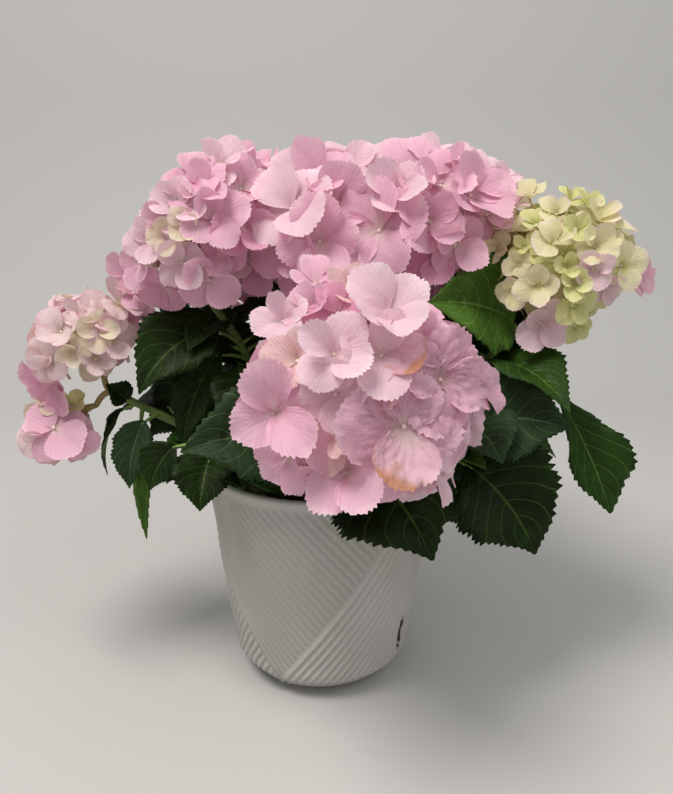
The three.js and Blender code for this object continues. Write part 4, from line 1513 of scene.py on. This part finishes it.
@dataclass
class Foliage:
    """The stems of the shoots with their petioles and leaf blades.

    Attributes:
        fold: The rise of a half blade for each step away from the midrib.
        tuck: The share of the blade under which its petiole runs on.
        joints: The shares of a stem at which its leaf joints swell.
        hook: How far a tooth points forwards, as a share of its step.
        quilt: How far the blade swells between its side veins, as a share of its length.
        wave: How far its margin waves, as a share of its length.
        young_width: The width in millimetres up to which a blade has fewer faces.
    """

    canes: Canes
    fold: float = math.tan(math.radians(18))
    thickness: float = 0.45 * MM
    petiole_radius: float = 1.6 * MM
    tuck: float = 0.07
    joints: tuple[float, ...] = (0.2, 0.48, 0.72, 0.95)
    joint: float = 0.5 * MM
    tooth: float = 0.055
    notch: float = 0.03
    hook: float = 0.55
    quilt: float = 0.034
    wave: float = 0.035
    young_width: float = 24
    blade_form: BladeShell = field(default_factory=lambda: BladeShell.make(42, 10))
    young_form: BladeShell = field(default_factory=lambda: BladeShell.make(20, 6))
    petiole_form: Form = field(default_factory=lambda: Form.rod(8, 8))
    stem_form: Form = field(default_factory=lambda: Form.rod(14, 26))

    def blade(self, form: Form, base: np.ndarray, plan: LeafPlan,
              seed: float) -> tuple[np.ndarray, np.ndarray, np.ndarray]:
        """Bends a leaf's shell along its midrib, with teeth, quilted veins and a wavy margin.

        Args:
            form: The unit shell.
            base: Where the blade starts, in metres.
            plan: The leaf's plan, in millimetres.
            seed: The leaf's seed.

        Returns:
            Its corners, and their measures along and across it.
        """
        along, side, layer = form.corners.T
        away = np.abs(side)
        rows = len(np.unique(along)) - 1
        row = np.round(along * rows)
        is_edge = away > 0.99
        is_tooth = is_edge & (row % 2 == 1) & (along > 0.1)
        # With a lean both halves are broadest nearer the tip, and the one on the left is the narrower
        outline = np.sin(math.pi * np.clip(along, 0, 1) ** (0.75 + 2.2 * plan.lean))
        outline *= (1 - 0.34 * np.clip((along - 0.62) / 0.38, 0, 1)) * np.where(side < 0, 1 - plan.lean, 1)
        ragged = 0.02 * np.sin(row * 2.1 + seed) + 0.04 * np.sin(row * 0.7 + seed * 3)
        teeth = np.where(is_tooth, self.tooth, -self.notch) + ragged * is_edge
        # The teeth fade over the last tenth of the blade
        teeth = teeth * np.clip((1 - along) / 0.1, 0, 1)
        half = plan.width * MM / 2 * outline * (1 + teeth)
        tip = np.array(plan.tip) * MM
        hooked = np.clip(along + np.where(is_tooth, self.hook / rows, 0), 0, 1)
        middle, left, normal = Midrib(base, tip, plan.arch, plan.turn).at(hooked)
        size = np.linalg.norm(tip - base)
        # Between the side veins the blade swells a little, and the midrib lies in a groove
        swell = np.abs(np.sin(math.pi * (along - VEIN_SLANT * away ** VEIN_BOW) * VEINS_A_SIDE)) ** 0.7
        swell = swell * np.clip(away * 5, 0, 1) * np.clip((1 - away) * 4 + 0.3, 0, 1)
        height = self.quilt * size * swell * np.clip(outline * 1.4, 0, 1)
        height += away * half * self.fold * (0.7 + 0.6 * chance(seed + 3))
        wave = np.sin(along * (9 + 5 * chance(seed + 1)) + np.sign(side) * 1.3 + 6.3 * chance(seed + 2))
        height += self.wave * size * wave * away ** 3 * np.clip(outline * 1.2, 0, 1)
        height += layer * self.thickness
        return middle + left * (side * half)[:, None] + normal * height[:, None], along, side

    def petiole_girth(self, share: np.ndarray, turn: np.ndarray) -> np.ndarray:
        """A petiole's radius: thick where it clasps the stem, slim at the blade, and flatter above.

        Args:
            share: Shares of the petiole.
            turn: Turns round it, in radians.

        Returns:
            The radii in metres.
        """
        taper = 1.25 - 0.75 * share + 0.25 * np.exp(-share / 0.08)
        return self.petiole_radius * taper * (1 - 0.25 * np.maximum(0, np.sin(turn)))

    def stem_girth(self, plan: ShootPlan, share: np.ndarray, turn: np.ndarray) -> np.ndarray:
        """A stem's radius, with swollen joints where leaf pairs stand.

        Args:
            plan: The shoot's plan.
            share: Shares of the stem.
            turn: Turns round it, in radians.

        Returns:
            The radii in metres.
        """
        whole = plan.cane + (1 - plan.cane) * share
        swell = sum(self.joint * np.exp(-((share - joint) / 0.03) ** 2) for joint in self.joints)
        return self.canes.thickness(whole) + swell + 0.08 * MM * np.sin(turn * 5 + share * 9)

    def put_leaf(self, stems: Joined, leaves: Joined, line: Bow, plan: LeafPlan, seed: float) -> None:
        """Adds a leaf with its petiole.

        Args:
            stems: The piece of stems.
            leaves: The piece of leaves.
            line: The line of its shoot.
            plan: The leaf's plan.
            seed: The leaf's seed.
        """
        start, tip = line.at(plan.at), np.array(plan.tip) * MM
        heading = math.degrees(math.atan2(tip[1] - start[1], tip[0] - start[0]))
        base = start + direction(heading, plan.rise) * plan.petiole * MM
        into = Midrib(base, tip, plan.arch, plan.turn).at(np.array([self.tuck]))[0][0]
        petiole = Bow(start, (start + base) / 2 + UP * plan.petiole * 0.08 * MM, into)
        stems.put(self.petiole_form, petiole.wrap(self.petiole_form, self.petiole_girth), 1)
        shell = self.blade_form if plan.width > self.young_width else self.young_form
        corners, along, side = self.blade(shell.form, base, plan, seed)
        leaves.put(shell.form, corners, np.where(shell.is_upper, plan.tint.value, UNDERSIDE), along, side)

    def pair_leaves(self, number: int, plan: ShootPlan) -> list[LeafPlan]:
        """The crosswise pairs of a shoot by the source's rule.

        Args:
            number: The shoot's number.
            plan: The shoot's plan.

        Returns:
            The plans of the leaves that found room.
        """
        pairs, line, found = plan.pairs, plan.line(), []
        for i, attempt in enumerate(pairs.tries):
            if attempt is None:
                continue
            pair = i // 2
            at = pairs.first + (pairs.last - pairs.first) * pair / max(1, pairs.count - 1)
            seed = 1000 + 100 * number + i + 10 * attempt
            # Each pair stands across the one below it, and each new try turns a leaf on by 19 degrees
            side = pairs.spin + 90 * pair + 180 * (i % 2)
            heading = side + attempt * 19 + 24 * (chance(seed) - 0.5)
            size = pairs.length * (0.85 + 0.3 * chance(seed + 50)) * (1 - 0.06 * attempt)
            fall = pairs.droop + 40 * (chance(seed + 90) - 0.5)
            base = line.at(at) / MM + direction(heading, 30) * pairs.petiole
            tip = base + direction(heading, -fall) * size
            tint = LeafTint(int(3 * chance(seed + 7)) if size < 60 else int(1.99 * chance(seed + 7)))
            found.append(LeafPlan(at, tuple(tip), pairs.petiole, rise=30, width=size * 0.62, arch=55,
                                  turn=0.25, tint=tint))
        return found

    def young_leaves(self, number: int, plan: ShootPlan) -> list[LeafPlan]:
        """Small leaves of the side buds, within the shoot's reach.

        Args:
            number: The shoot's number.
            plan: The shoot's plan.

        Returns:
            The plans of the small leaves.
        """
        line, found = plan.line(), []
        for i in range(plan.young):
            seed = 5000 + 100 * number + i
            at = 0.3 + 0.6 * i / plan.young
            heading = plan.pairs.spin + 45 + i * 137.5
            size = 30 + 20 * chance(seed)
            base = line.at(at) / MM + direction(heading, 35) * 10
            tip = base + direction(heading, 15 - 45 * chance(seed + 1)) * size
            tint = LeafTint(int(1.99 * chance(seed + 2)))
            found.append(LeafPlan(at, tuple(tip), petiole=10, rise=35, width=size * 0.6, arch=40,
                                  turn=0.3, tint=tint))
        return found

    def build(self, rinds: list[GreenRind], skins: list[LeafSkin]) -> None:
        """Builds the stems and leaves of all the shoots.

        Args:
            rinds: The finishes of the stems and of the petioles.
            skins: The finishes of the leaves by tint, then of their undersides.
        """
        stems = Joined("shoot_stems", [rind.make() for rind in rinds])
        skin_made = [skin.make() for skin in skins]
        parts = {name: Joined(f"leaves_{name}", skin_made) for name in LEAF_PARTS}
        for number, plan in enumerate(SHOOTS):
            line = plan.line()
            stem = line.part(plan.cane, 1)
            stems.put(self.stem_form, stem.wrap(self.stem_form, partial(self.stem_girth, plan)), 0)
            part = next(parts[name] for name, own in LEAF_PARTS.items() if plan.name in own)
            leaves = [*plan.leaves, *self.pair_leaves(number, plan), *self.young_leaves(number, plan)]
            for order, leaf in enumerate(leaves):
                self.put_leaf(stems, part, line, leaf, 3000 + 100 * number + order)
        stems.finish("foliage", [f"shoot_{plan.name}" for plan in SHOOTS])
        for name, own in LEAF_PARTS.items():
            parts[name].finish("foliage", [f"shoot_{each}" for each in own])


# Flower heads


@dataclass(frozen=True)
class Floret:
    """One floret, in metres and radians: its eye's seat, the way it faces, and its looks as in its plan."""

    seat: np.ndarray
    normal: np.ndarray
    width: float
    tint: Tint
    cup: float
    spin: float
    seed: float
    crease: float = 0.3
    stained: int | None = None


@dataclass
class FlowerHeads:
    """The mophead flower heads: rays, pedicels, eyes and four-sepalled florets.

    Attributes:
        stand: The share of a cluster's reach at which its shown florets stand.
        spread_stand: The same of its spread florets.
        deep_stand: The same of its deep florets.
        cover: The share of its width squared that a spread floret has for itself.
        deep_cover: The same of a deep floret.
        sunk: The share of its reach to which a spread floret is drawn in behind shown ones.
        keep_out: The share of another cluster's reach within which no floret stands.
        fan: Half the angle that a sepal spans, in radians.
        jag: How uneven the margin's teeth are.
    """

    stand: float = 0.86
    spread_stand: float = 0.8
    deep_stand: float = 0.58
    cover: float = 0.27
    deep_cover: float = 0.4
    sunk: float = 0.86
    keep_out: float = 0.78
    fan: float = math.radians(72) * 0.985
    eye_share: float = 0.05
    tooth: float = 0.02
    jag: float = 0.05
    overlap: float = 0.035
    rays: int = 6
    stalk_radius: float = 2.3 * MM
    ray_radius: float = 1.7 * MM
    pedicel_radius: float = 0.75 * MM
    shown_form: Form = field(default_factory=lambda: Form.sheet(8, 44))
    spread_form: Form = field(default_factory=lambda: Form.sheet(5, 18))
    deep_form: Form = field(default_factory=lambda: Form.sheet(3, 8))
    eye_form: Form = field(default_factory=lambda: Form.bead(8, 5))
    ray_form: Form = field(default_factory=lambda: Form.rod(9, 10))
    pedicel_form: Form = field(default_factory=lambda: Form.rod(5, 4))

    def reach(self, form: Form, seed: float, roll: list[float]) -> np.ndarray:
        """How far a sepal's corners lie from the eye: a broad fan with a toothed margin.

        Args:
            form: The unit sheet.
            seed: The sepal's seed.
            roll: Its random shares.

        Returns:
            Shares of the sepal's length.
        """
        share, side = form.corners.T[:2]
        rounded = np.cos(side * math.pi / 2 * 0.97) ** (0.3 + 0.22 * roll[1])
        # The middle of the margin is drawn out to a point or in to a notch
        point = (roll[2] - 0.35) * 0.14 * np.exp(-(side * self.fan / 0.2) ** 2)
        column = np.round((side + 1) / 2 * (len(np.unique(side)) - 1))
        teeth = np.where(column % 2 == 1, self.tooth, -self.tooth)
        teeth = teeth + self.jag * (chance(column * 3.7 + seed) - 0.5)
        teeth = teeth * (share > 0.99) * np.cos(side * 1.4)
        return (self.eye_share + (1 - self.eye_share) * share) * rounded * (1 + point * share ** 3 + teeth)

    def waves(self, share: np.ndarray, angle: np.ndarray, crease: float, roll: list[float]) -> np.ndarray:
        """The fine relief of a sepal: a ruffled margin, pleats, and puckers between the veins.

        Args:
            share: Shares of the way from the eye to the margin.
            angle: Angles from the sepal's middle, in radians.
            crease: How deep the puckers are.
            roll: The sepal's random shares.

        Returns:
            Heights as shares of the sepal's length.
        """
        ruffle = (0.02 + 0.055 * roll[7]) * np.sin(angle * 4.5 + 6.3 * roll[8]) * share ** 3
        pleat = 0.016 * np.sin(angle * 9 + 5 * roll[3]) * share ** 2
        pucker = np.sin(share * 15 + angle * 6 + 6 * roll[4]) * np.sin(angle * 13 + 6 * roll[0])
        finer = np.sin(share * 24 - angle * 9 + 6 * roll[5]) * np.sin(angle * 19 + 6 * roll[1])
        return ruffle + pleat + 0.02 * crease * (pucker + 0.7 * finer) * np.clip(share * 2, 0, 1)

    def sepal(self, form: Form, floret: Floret, number: int) -> tuple[np.ndarray, np.ndarray, np.ndarray]:
        """Shapes one sepal: a toothed fan, cupped and rippled.

        Args:
            form: The unit sheet.
            floret: Its floret.
            number: Which of the four it is.

        Returns:
            Its corners, and their measures along and across it.
        """
        share, side = form.corners.T[:2]
        roll = [chance(floret.seed * 7 + number * 13 + k) for k in range(9)]
        angle = side * self.fan
        # Two sepals stand on the other two, and one pair is often the larger
        is_upper = number % 2
        larger = (2 * is_upper - 1) * 0.14 * (chance(floret.seed * 5 + 3) - 0.5)
        length = floret.width / 2 * (0.9 + 0.2 * roll[0] + larger)
        far = self.reach(form, floret.seed + number, roll)
        # The sepal rises from the eye and bends in or out towards its margin
        start = 0.05 + 1.2 * floret.cup + 0.35 * (roll[3] - 0.5) + 0.14 * is_upper
        bend = -0.2 - 0.5 * floret.cup + 1.1 * (roll[4] - 0.5)
        bend = bend if abs(bend) > 0.02 else 0.02
        out = (np.sin(start + bend * far) - math.sin(start)) / bend
        up = (math.cos(start) - np.cos(start + bend * far)) / bend
        # Its two sides curl up or down, and one may stand higher than the other
        lateral = out * np.sin(angle)
        up = up + (0.1 + 0.55 * is_upper - 0.6 * roll[5]) * lateral ** 2 + 0.3 * (roll[6] - 0.5) * lateral
        up = up + self.waves(share, angle, floret.crease, roll)
        up = up + self.overlap * is_upper * np.clip(share * 3, 0, 1)
        first, last = across(floret.normal)
        turn = floret.spin + number * math.pi / 2 + 0.4 * (roll[2] - 0.5)
        ahead = first * math.cos(turn) + last * math.sin(turn)
        aside = np.cross(floret.normal, ahead)
        corners = floret.seat + length * (
            (out * np.cos(angle))[:, None] * ahead + lateral[:, None] * aside + up[:, None] * floret.normal)
        return corners, share, side

    def shown_florets(self, cluster: ClusterPlan, seed: int) -> list[Floret]:
        """The florets that the front view shows.

        Args:
            cluster: The cluster's plan.
            seed: The cluster's seed.

        Returns:
            The florets.
        """
        middle = np.array(cluster.middle or cluster.centre)
        rx, ry, rz = (radius * self.stand for radius in cluster.radii)
        found = []
        for i, plan in enumerate(cluster.shown):
            depth = math.sqrt(max(0.0, 1 - (plan.right / rx) ** 2 - (plan.up / rz) ** 2))
            out = unit(np.array((plan.right / rx, -depth, plan.up / rz)))
            seat = middle + np.array((plan.right, -depth * ry - plan.forward, plan.up))
            sway = np.array([chance(seed + i + k) - 0.5 for k in (300, 400, 450)])
            turned = np.array((plan.aside, 0, plan.lift))
            normal = unit(0.8 * out + 0.75 * VIEWER + turned + cluster.loose * sway)
            found.append(Floret(seat * MM, normal, plan.width * MM, plan.tint, plan.cup,
                                math.radians(plan.spin), seed * 31 + i, plan.crease, plan.stained))
        return found

    def spread_florets(self, cluster: ClusterPlan, tints: tuple[Tint, ...], seed: int,
                       shown: list[Floret]) -> list[Floret]:
        """The florets over the rest of a cluster, by the source's even golden-angle spread.

        Args:
            cluster: The cluster's plan.
            tints: The tints that are dealt out.
            seed: The cluster's seed.
            shown: The florets that stand already.

        Returns:
            The florets.
        """
        centre, radii = np.array(cluster.centre, float), np.array(cluster.radii, float) * self.spread_stand
        axis = direction(*cluster.axis)
        first, last = across(axis)
        low = math.cos(math.radians(cluster.spread))
        area = 2 * math.pi * radii[0] * radii[1] * (1 - low)
        total = round(area / (self.cover * cluster.width ** 2))
        found = []
        for i in range(total):
            height = 1 - i / (total - 0.5) * (1 - low)
            ring = math.sqrt(1 - height * height)
            angle = i * GOLDEN_ANGLE + seed
            out = axis * height + ring * (first * math.cos(angle) + last * math.sin(angle))
            width = cluster.width * (0.86 + 0.28 * chance(seed + i))
            seat = centre + out * radii * (0.86 + 0.16 * chance(seed + i + 200))
            is_taken = self.is_by(seat, width, shown, 0.2)
            seat = self.drawn_in(seat, cluster)
            # What stands between the florets that show in front lies a little deeper than they do
            if self.is_by(seat, width, shown, 0.45):
                seat = centre + (seat - centre) * self.sunk
            if is_taken or self.is_in_other(seat, cluster):
                continue
            sway = np.array([chance(seed + i + k) - 0.5 for k in (300, 400, 450)])
            normal = unit(out + 0.6 * (1 - 0.6 * max(0.0, out[2])) * sway + 0.1 * UP)
            tint = tints[int(len(tints) * 0.999 * chance(seed * 3 + i + 77))]
            cup = 0.12 + 0.36 * chance(seed + i + 600)
            spin = math.tau * chance(seed + i + 500)
            found.append(Floret(seat * MM, normal, width * MM, tint, cup, spin, seed * 97 + i, crease=0.6))
        return found

    def deep_florets(self, cluster: ClusterPlan, tints: tuple[Tint, ...], seed: int) -> list[Floret]:
        """Florets that stand deeper in a cluster and close its inside.

        Args:
            cluster: The cluster's plan.
            tints: The tints that are dealt out.
            seed: The cluster's seed.

        Returns:
            The florets.
        """
        centre, radii = np.array(cluster.centre, float), np.array(cluster.radii, float) * self.deep_stand
        total = round(4 * math.pi * radii[0] * radii[1] / (self.deep_cover * cluster.width ** 2))
        found = []
        for i in range(total):
            height = 1 - (i + 0.5) / total * 1.7
            ring = math.sqrt(1 - height * height)
            angle = i * GOLDEN_ANGLE + seed * 2
            out = np.array((ring * math.cos(angle), ring * math.sin(angle), height))
            seat = self.drawn_in(centre + out * radii, cluster)
            spin = math.tau * chance(seed + i)
            found.append(Floret(seat * MM, out, cluster.width * MM, tints[i % len(tints)], cup=0.15,
                                spin=spin, seed=seed * 57 + i))
        return found

    def is_by(self, place: np.ndarray, width: float, shown: list[Floret], share: float) -> bool:
        """Tells whether a floret would stand by one that shows.

        Args:
            place: Where it would stand, in millimetres.
            width: Its width in millimetres.
            shown: The florets that show.
            share: The share of both widths together that counts as near.

        Returns:
            Whether it would.
        """
        return any(np.linalg.norm(place - other.seat / MM) < share * (width + other.width / MM)
                   for other in shown)

    def drawn_in(self, place: np.ndarray, cluster: ClusterPlan) -> np.ndarray:
        """Draws a place in to where a cluster is flatter than its ball.

        Args:
            place: The place in millimetres.
            cluster: The cluster.

        Returns:
            The place, moved in where it stood beyond one of the cluster's flats.
        """
        for degrees, limit in cluster.flats:
            way = np.array((math.cos(math.radians(degrees)), 0, math.sin(math.radians(degrees))))
            place = place - way * max(0.0, (place - np.array(cluster.centre)) @ way - limit)
        return place

    def is_in_other(self, place: np.ndarray, own: ClusterPlan) -> bool:
        """Tells whether a place lies within another cluster.

        Args:
            place: The place in millimetres.
            own: The cluster that it belongs to.

        Returns:
            Whether it does.
        """
        others = [cluster for head in HEADS for cluster in head.clusters if cluster is not own]
        return any(np.linalg.norm((place - np.array(other.centre)) / np.array(other.radii)) < self.keep_out
                   for other in others)

    def put_rays(self, stalks: Joined, cluster: ClusterPlan, line: Bow, seed: int) -> None:
        """Adds a cluster's stalk and the rays that fork from it.

        Args:
            stalks: The piece of stalks.
            cluster: The cluster's plan.
            line: The line of its shoot.
            seed: The cluster's seed.
        """
        centre = np.array(cluster.centre) * MM
        # The stalk starts just past the shoot's end
        start = line.at(1.0) + line.way(1.0) * 0.45 * MM
        fork = start + (centre - start) * 0.35
        stalk = Bow(start, start + line.way(1.0) * np.linalg.norm(fork - start) * 0.5, fork)
        stalks.put(self.ray_form, stalk.wrap(self.ray_form, tapering(self.stalk_radius, 0.15)), 0)
        for k in range(self.rays):
            way = direction(k * 360 / self.rays + seed * 20, 20 + 30 * (k % 2))
            end = centre + way * np.array(cluster.radii) * 0.4 * MM
            ray = Bow(fork, (fork + end) / 2 + UP * 3 * MM, end)
            stalks.put(self.ray_form, ray.wrap(self.ray_form, tapering(self.ray_radius, 0.35)), 0)

    def put_floret(self, piece: Joined, eyes: Joined, stalks: Joined, form: Form, centre: np.ndarray,
                   floret: Floret) -> None:
        """Adds a floret's four sepals, its eye and its pedicel.

        Args:
            piece: The piece of the head's florets.
            eyes: The piece of eyes.
            stalks: The piece of stalks.
            form: The unit sheet of its sepals.
            centre: The centre of its cluster, in metres.
            floret: The floret.
        """
        for number in range(4):
            corners, along, side = self.sepal(form, floret, number)
            tint = SCORCHED if number == floret.stained else floret.tint
            piece.put(form, corners, tint.value, along, side)
        size = 0.7 * MM + 0.011 * floret.width
        eyes.put(self.eye_form, floret.seat + floret.normal * 0.7 * MM + self.eye_form.corners * size)
        root = centre + (floret.seat - centre) * 0.3
        pedicel = Bow(root, (root + floret.seat) / 2 - floret.normal * 2 * MM, floret.seat)
        girth = tapering(self.pedicel_radius, 0)
        stalks.put(self.pedicel_form, pedicel.wrap(self.pedicel_form, girth), 1)

    def build(self, skins: list[SepalSkin], rinds: list[GreenRind], eye: GreenRind) -> None:
        """Builds every head.

        Args:
            skins: The finishes of the sepals by tint.
            rinds: The finishes of rays and pedicels.
            eye: The finish of the florets' eyes.
        """
        skin_made = [skin.make() for skin in skins]
        stalks = Joined("flower_stalks", [rind.make() for rind in rinds])
        eyes = Joined("floret_eyes", [eye.make()])
        lines = {plan.name: plan.line() for plan in SHOOTS}
        for i, head in enumerate(HEADS):
            piece = Joined(f"florets_{head.name}", skin_made)
            for j, cluster in enumerate(head.clusters):
                seed = 1 + 10 * i + j
                shown = self.shown_florets(cluster, seed)
                spread = self.spread_florets(cluster, head.tints, seed, shown)
                deep = self.deep_florets(cluster, head.tints, seed)
                self.put_rays(stalks, cluster, lines[head.name], seed)
                layers = ((self.shown_form, shown), (self.spread_form, spread), (self.deep_form, deep))
                for form, layer in layers:
                    for floret in layer:
                        self.put_floret(piece, eyes, stalks, form, np.array(cluster.centre) * MM, floret)
            piece.finish("cream_bloom" if head.name == "right" else "pink_bloom", [f"head_{head.name}"])
        stalks.finish("cane", [f"head_{head.name}" for head in HEADS])
        eyes.finish("pink_bloom", [f"head_{head.name}" for head in HEADS])


# Camera, light and backdrop


@dataclass(frozen=True)
class Lamp:
    """A soft square light that faces the middle of the plant, in metres and watts."""

    name: str
    place: tuple[float, float, float]
    size: float
    power: float
    tint: str = "FFFAF5"

    def hang(self) -> None:
        """Hangs the lamp and points it at the plant."""
        data = bpy.data.lights.new(self.name, "AREA")
        data.shape, data.size, data.energy = "SQUARE", self.size, self.power
        data.color = linear(self.tint)[:3]
        lamp = bpy.data.objects.new(self.name, data)
        lamp.location = self.place
        lamp.rotation_euler = (Vector((0, 0, 0.2)) - Vector(self.place)).to_track_quat("-Z", "Y").to_euler()
        bpy.context.scene.collection.objects.link(lamp)


@dataclass
class Studio:
    """The camera at the photograph's angle, soft lights, and a paper sweep under and behind the plant.

    Attributes:
        eye: Where the camera stands, in metres.
        down: Degrees that it looks down.
        lens: Its focal length in millimetres.
        far: How far behind the plant the paper stands.
        bend: The radius of its curve from floor to wall.
        top: How high it goes.
        half: How far it goes to the front and to each side.
    """

    eye: tuple[float, float, float] = (0.0108, -0.4718, 0.3391)
    down: float = 16.7
    lens: float = 32.92
    sensor: float = 36.0
    sky: str = "E9ECEF"
    sky_strength: float = 0.5
    lamps: tuple[Lamp, ...] = (
        Lamp("key", (-0.5, -0.5, 1.65), 0.7, 23.0), Lamp("fill", (0.9, -0.5, 1.4), 1.0, 5.0))
    far: float = 1.1
    bend: float = 0.5
    top: float = 3.0
    half: float = 4.0

    def camera(self) -> None:
        """Sets the camera."""
        data = bpy.data.cameras.new("view")
        data.lens, data.sensor_width, data.sensor_fit = self.lens, self.sensor, "AUTO"
        data.clip_start = 0.01
        camera = bpy.data.objects.new("view", data)
        camera.location = self.eye
        camera.rotation_euler = (math.radians(90 - self.down), 0, 0)
        bpy.context.scene.collection.objects.link(camera)
        bpy.context.scene.camera = camera

    def sweep(self, paper: Backdrop) -> None:
        """Builds the paper floor that curves up into a backdrop.

        Args:
            paper: Its finish.
        """
        shape = bmesh.new()
        curve = [(self.far - self.bend + self.bend * math.sin(turn), self.bend * (1 - math.cos(turn)))
                 for turn in np.linspace(0, math.pi / 2, 13)]
        outline = [(-self.half, 0.0), (0.0, 0.0), *curve, (self.far, self.top)]
        verts = [shape.verts.new((-self.half, y, z)) for y, z in outline]
        edges = [shape.edges.new(pair) for pair in zip(verts, verts[1:])]
        drawn = bmesh.ops.extrude_edge_only(shape, edges=edges)["geom"]
        bmesh.ops.translate(shape, verts=[each for each in drawn if isinstance(each, bmesh.types.BMVert)],
                            vec=(2 * self.half, 0, 0))
        bmesh.ops.recalc_face_normals(shape, faces=shape.faces)
        mesh = smooth_mesh(shape, "paper_sweep")
        mesh.materials.append(paper.make())
        piece = bpy.data.objects.new("paper_sweep", mesh)
        bpy.context.scene.collection.objects.link(piece)

    def build(self, paper: Backdrop) -> None:
        """Sets up camera, sweep and lights.

        Args:
            paper: The sweep's finish.
        """
        self.camera()
        self.sweep(paper)
        world = bpy.data.worlds.new("studio")
        world.use_nodes = True
        background = world.node_tree.nodes["Background"]
        background.inputs["Color"].default_value = linear(self.sky)
        background.inputs["Strength"].default_value = self.sky_strength
        bpy.context.scene.world = world
        bpy.context.scene.view_settings.view_transform = "Standard"
        for lamp in self.lamps:
            lamp.hang()


def main() -> None:
    """Builds the studio and the plant."""
    logging.basicConfig(level=logging.INFO, format="%(message)s")
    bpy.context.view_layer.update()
    Studio().build(Backdrop())
    # A dark finish for the slot's inside: painted shade
    slot_shade = MattCeramic("4C4843", "3E3A36", "34312D", name="slot_shade_stoneware", roughness=0.8)
    Pot().build(MattCeramic(), slot_shade)
    PottingMix().build(PeatMix())
    canes = Canes()
    canes.build(GreenRind("green_cane_rind", "6E7440", "838752", "8C7B5A"))
    Foliage(canes).build([
        GreenRind("green_stem_rind", "56702F", "6B8440", "7C7B4C"),
        GreenRind("petiole_rind", "5E8034", "7B9A4A", "6E8A44"),
    ], [
        LeafSkin("deep_green_leaf", "121F07", "1D2E0D", "587234", roughness=0.46, vein_share=0.5),
        LeafSkin("middle_green_leaf", "1F350F", "2A4614", "6C8C44", roughness=0.46, vein_share=0.5),
        LeafSkin("bright_green_leaf", "3A581E", "4A6C28", "88A656", roughness=0.46, vein_share=0.5),
        # The greyed green is painted sheen
        LeafSkin("painted_sheen_green_leaf", "22341B", "2D4127", "6E8862", roughness=0.5, vein_share=0.42),
        LeafSkin("leaf_underside", "5C7A44", "6A8850", "93AA74", roughness=0.6, vein_share=0.6),
    ])
    FlowerHeads().build([
        # The paler margins of the blush, rose, deep rose and peach sepals are painted rim highlight
        SepalSkin("blush_sepal", "F5E6E0", "F5D7E2", "F9E4EA", "EAC0D1"),
        SepalSkin("rose_sepal", "F3DFDA", "F0C2D5", "F7D6E1", "DFA1BF"),
        SepalSkin("deep_rose_sepal", "EFD2D2", "EAAFC8", "F2C7D6", "D48DB0"),
        SepalSkin("peach_sepal", "EFE0CA", "F3D1CF", "F5DEDC", "E4B4B2"),
        SepalSkin("cream_sepal", "D8DA98", "EFE4CA", "F3DDDA", "DDD2A2"),
        SepalSkin("green_cream_sepal", "C0CA6C", "E6E6A8", "F0ECCA", "D0D488"),
        SepalSkin("scorched_sepal", "F3DFDA", "F2C8D6", "CF9678", "DDA392", edge=0.64, wedge=0.42,
                  cloud_size=9 * MM),
        SepalSkin("cream_pink_sepal", "DCDBA4", "F4DFDF", "F1C6D4", "E5BCC8"),
        SepalSkin("lemon_cream_sepal", "D2D880", "F2ECC4", "F6E2DA", "DEDAA0"),
    ], [
        GreenRind("flower_ray_rind", "9A8A55", "A8955F", "A87A5F"),
        GreenRind("pedicel_rind", "C7C48A", "D6CF9E", "C9A98C"),
    ], GreenRind("cream_eye_skin", "EAD3C6", "F0DDD4", "D6B49C"))


if __name__ == "__main__":
    main()
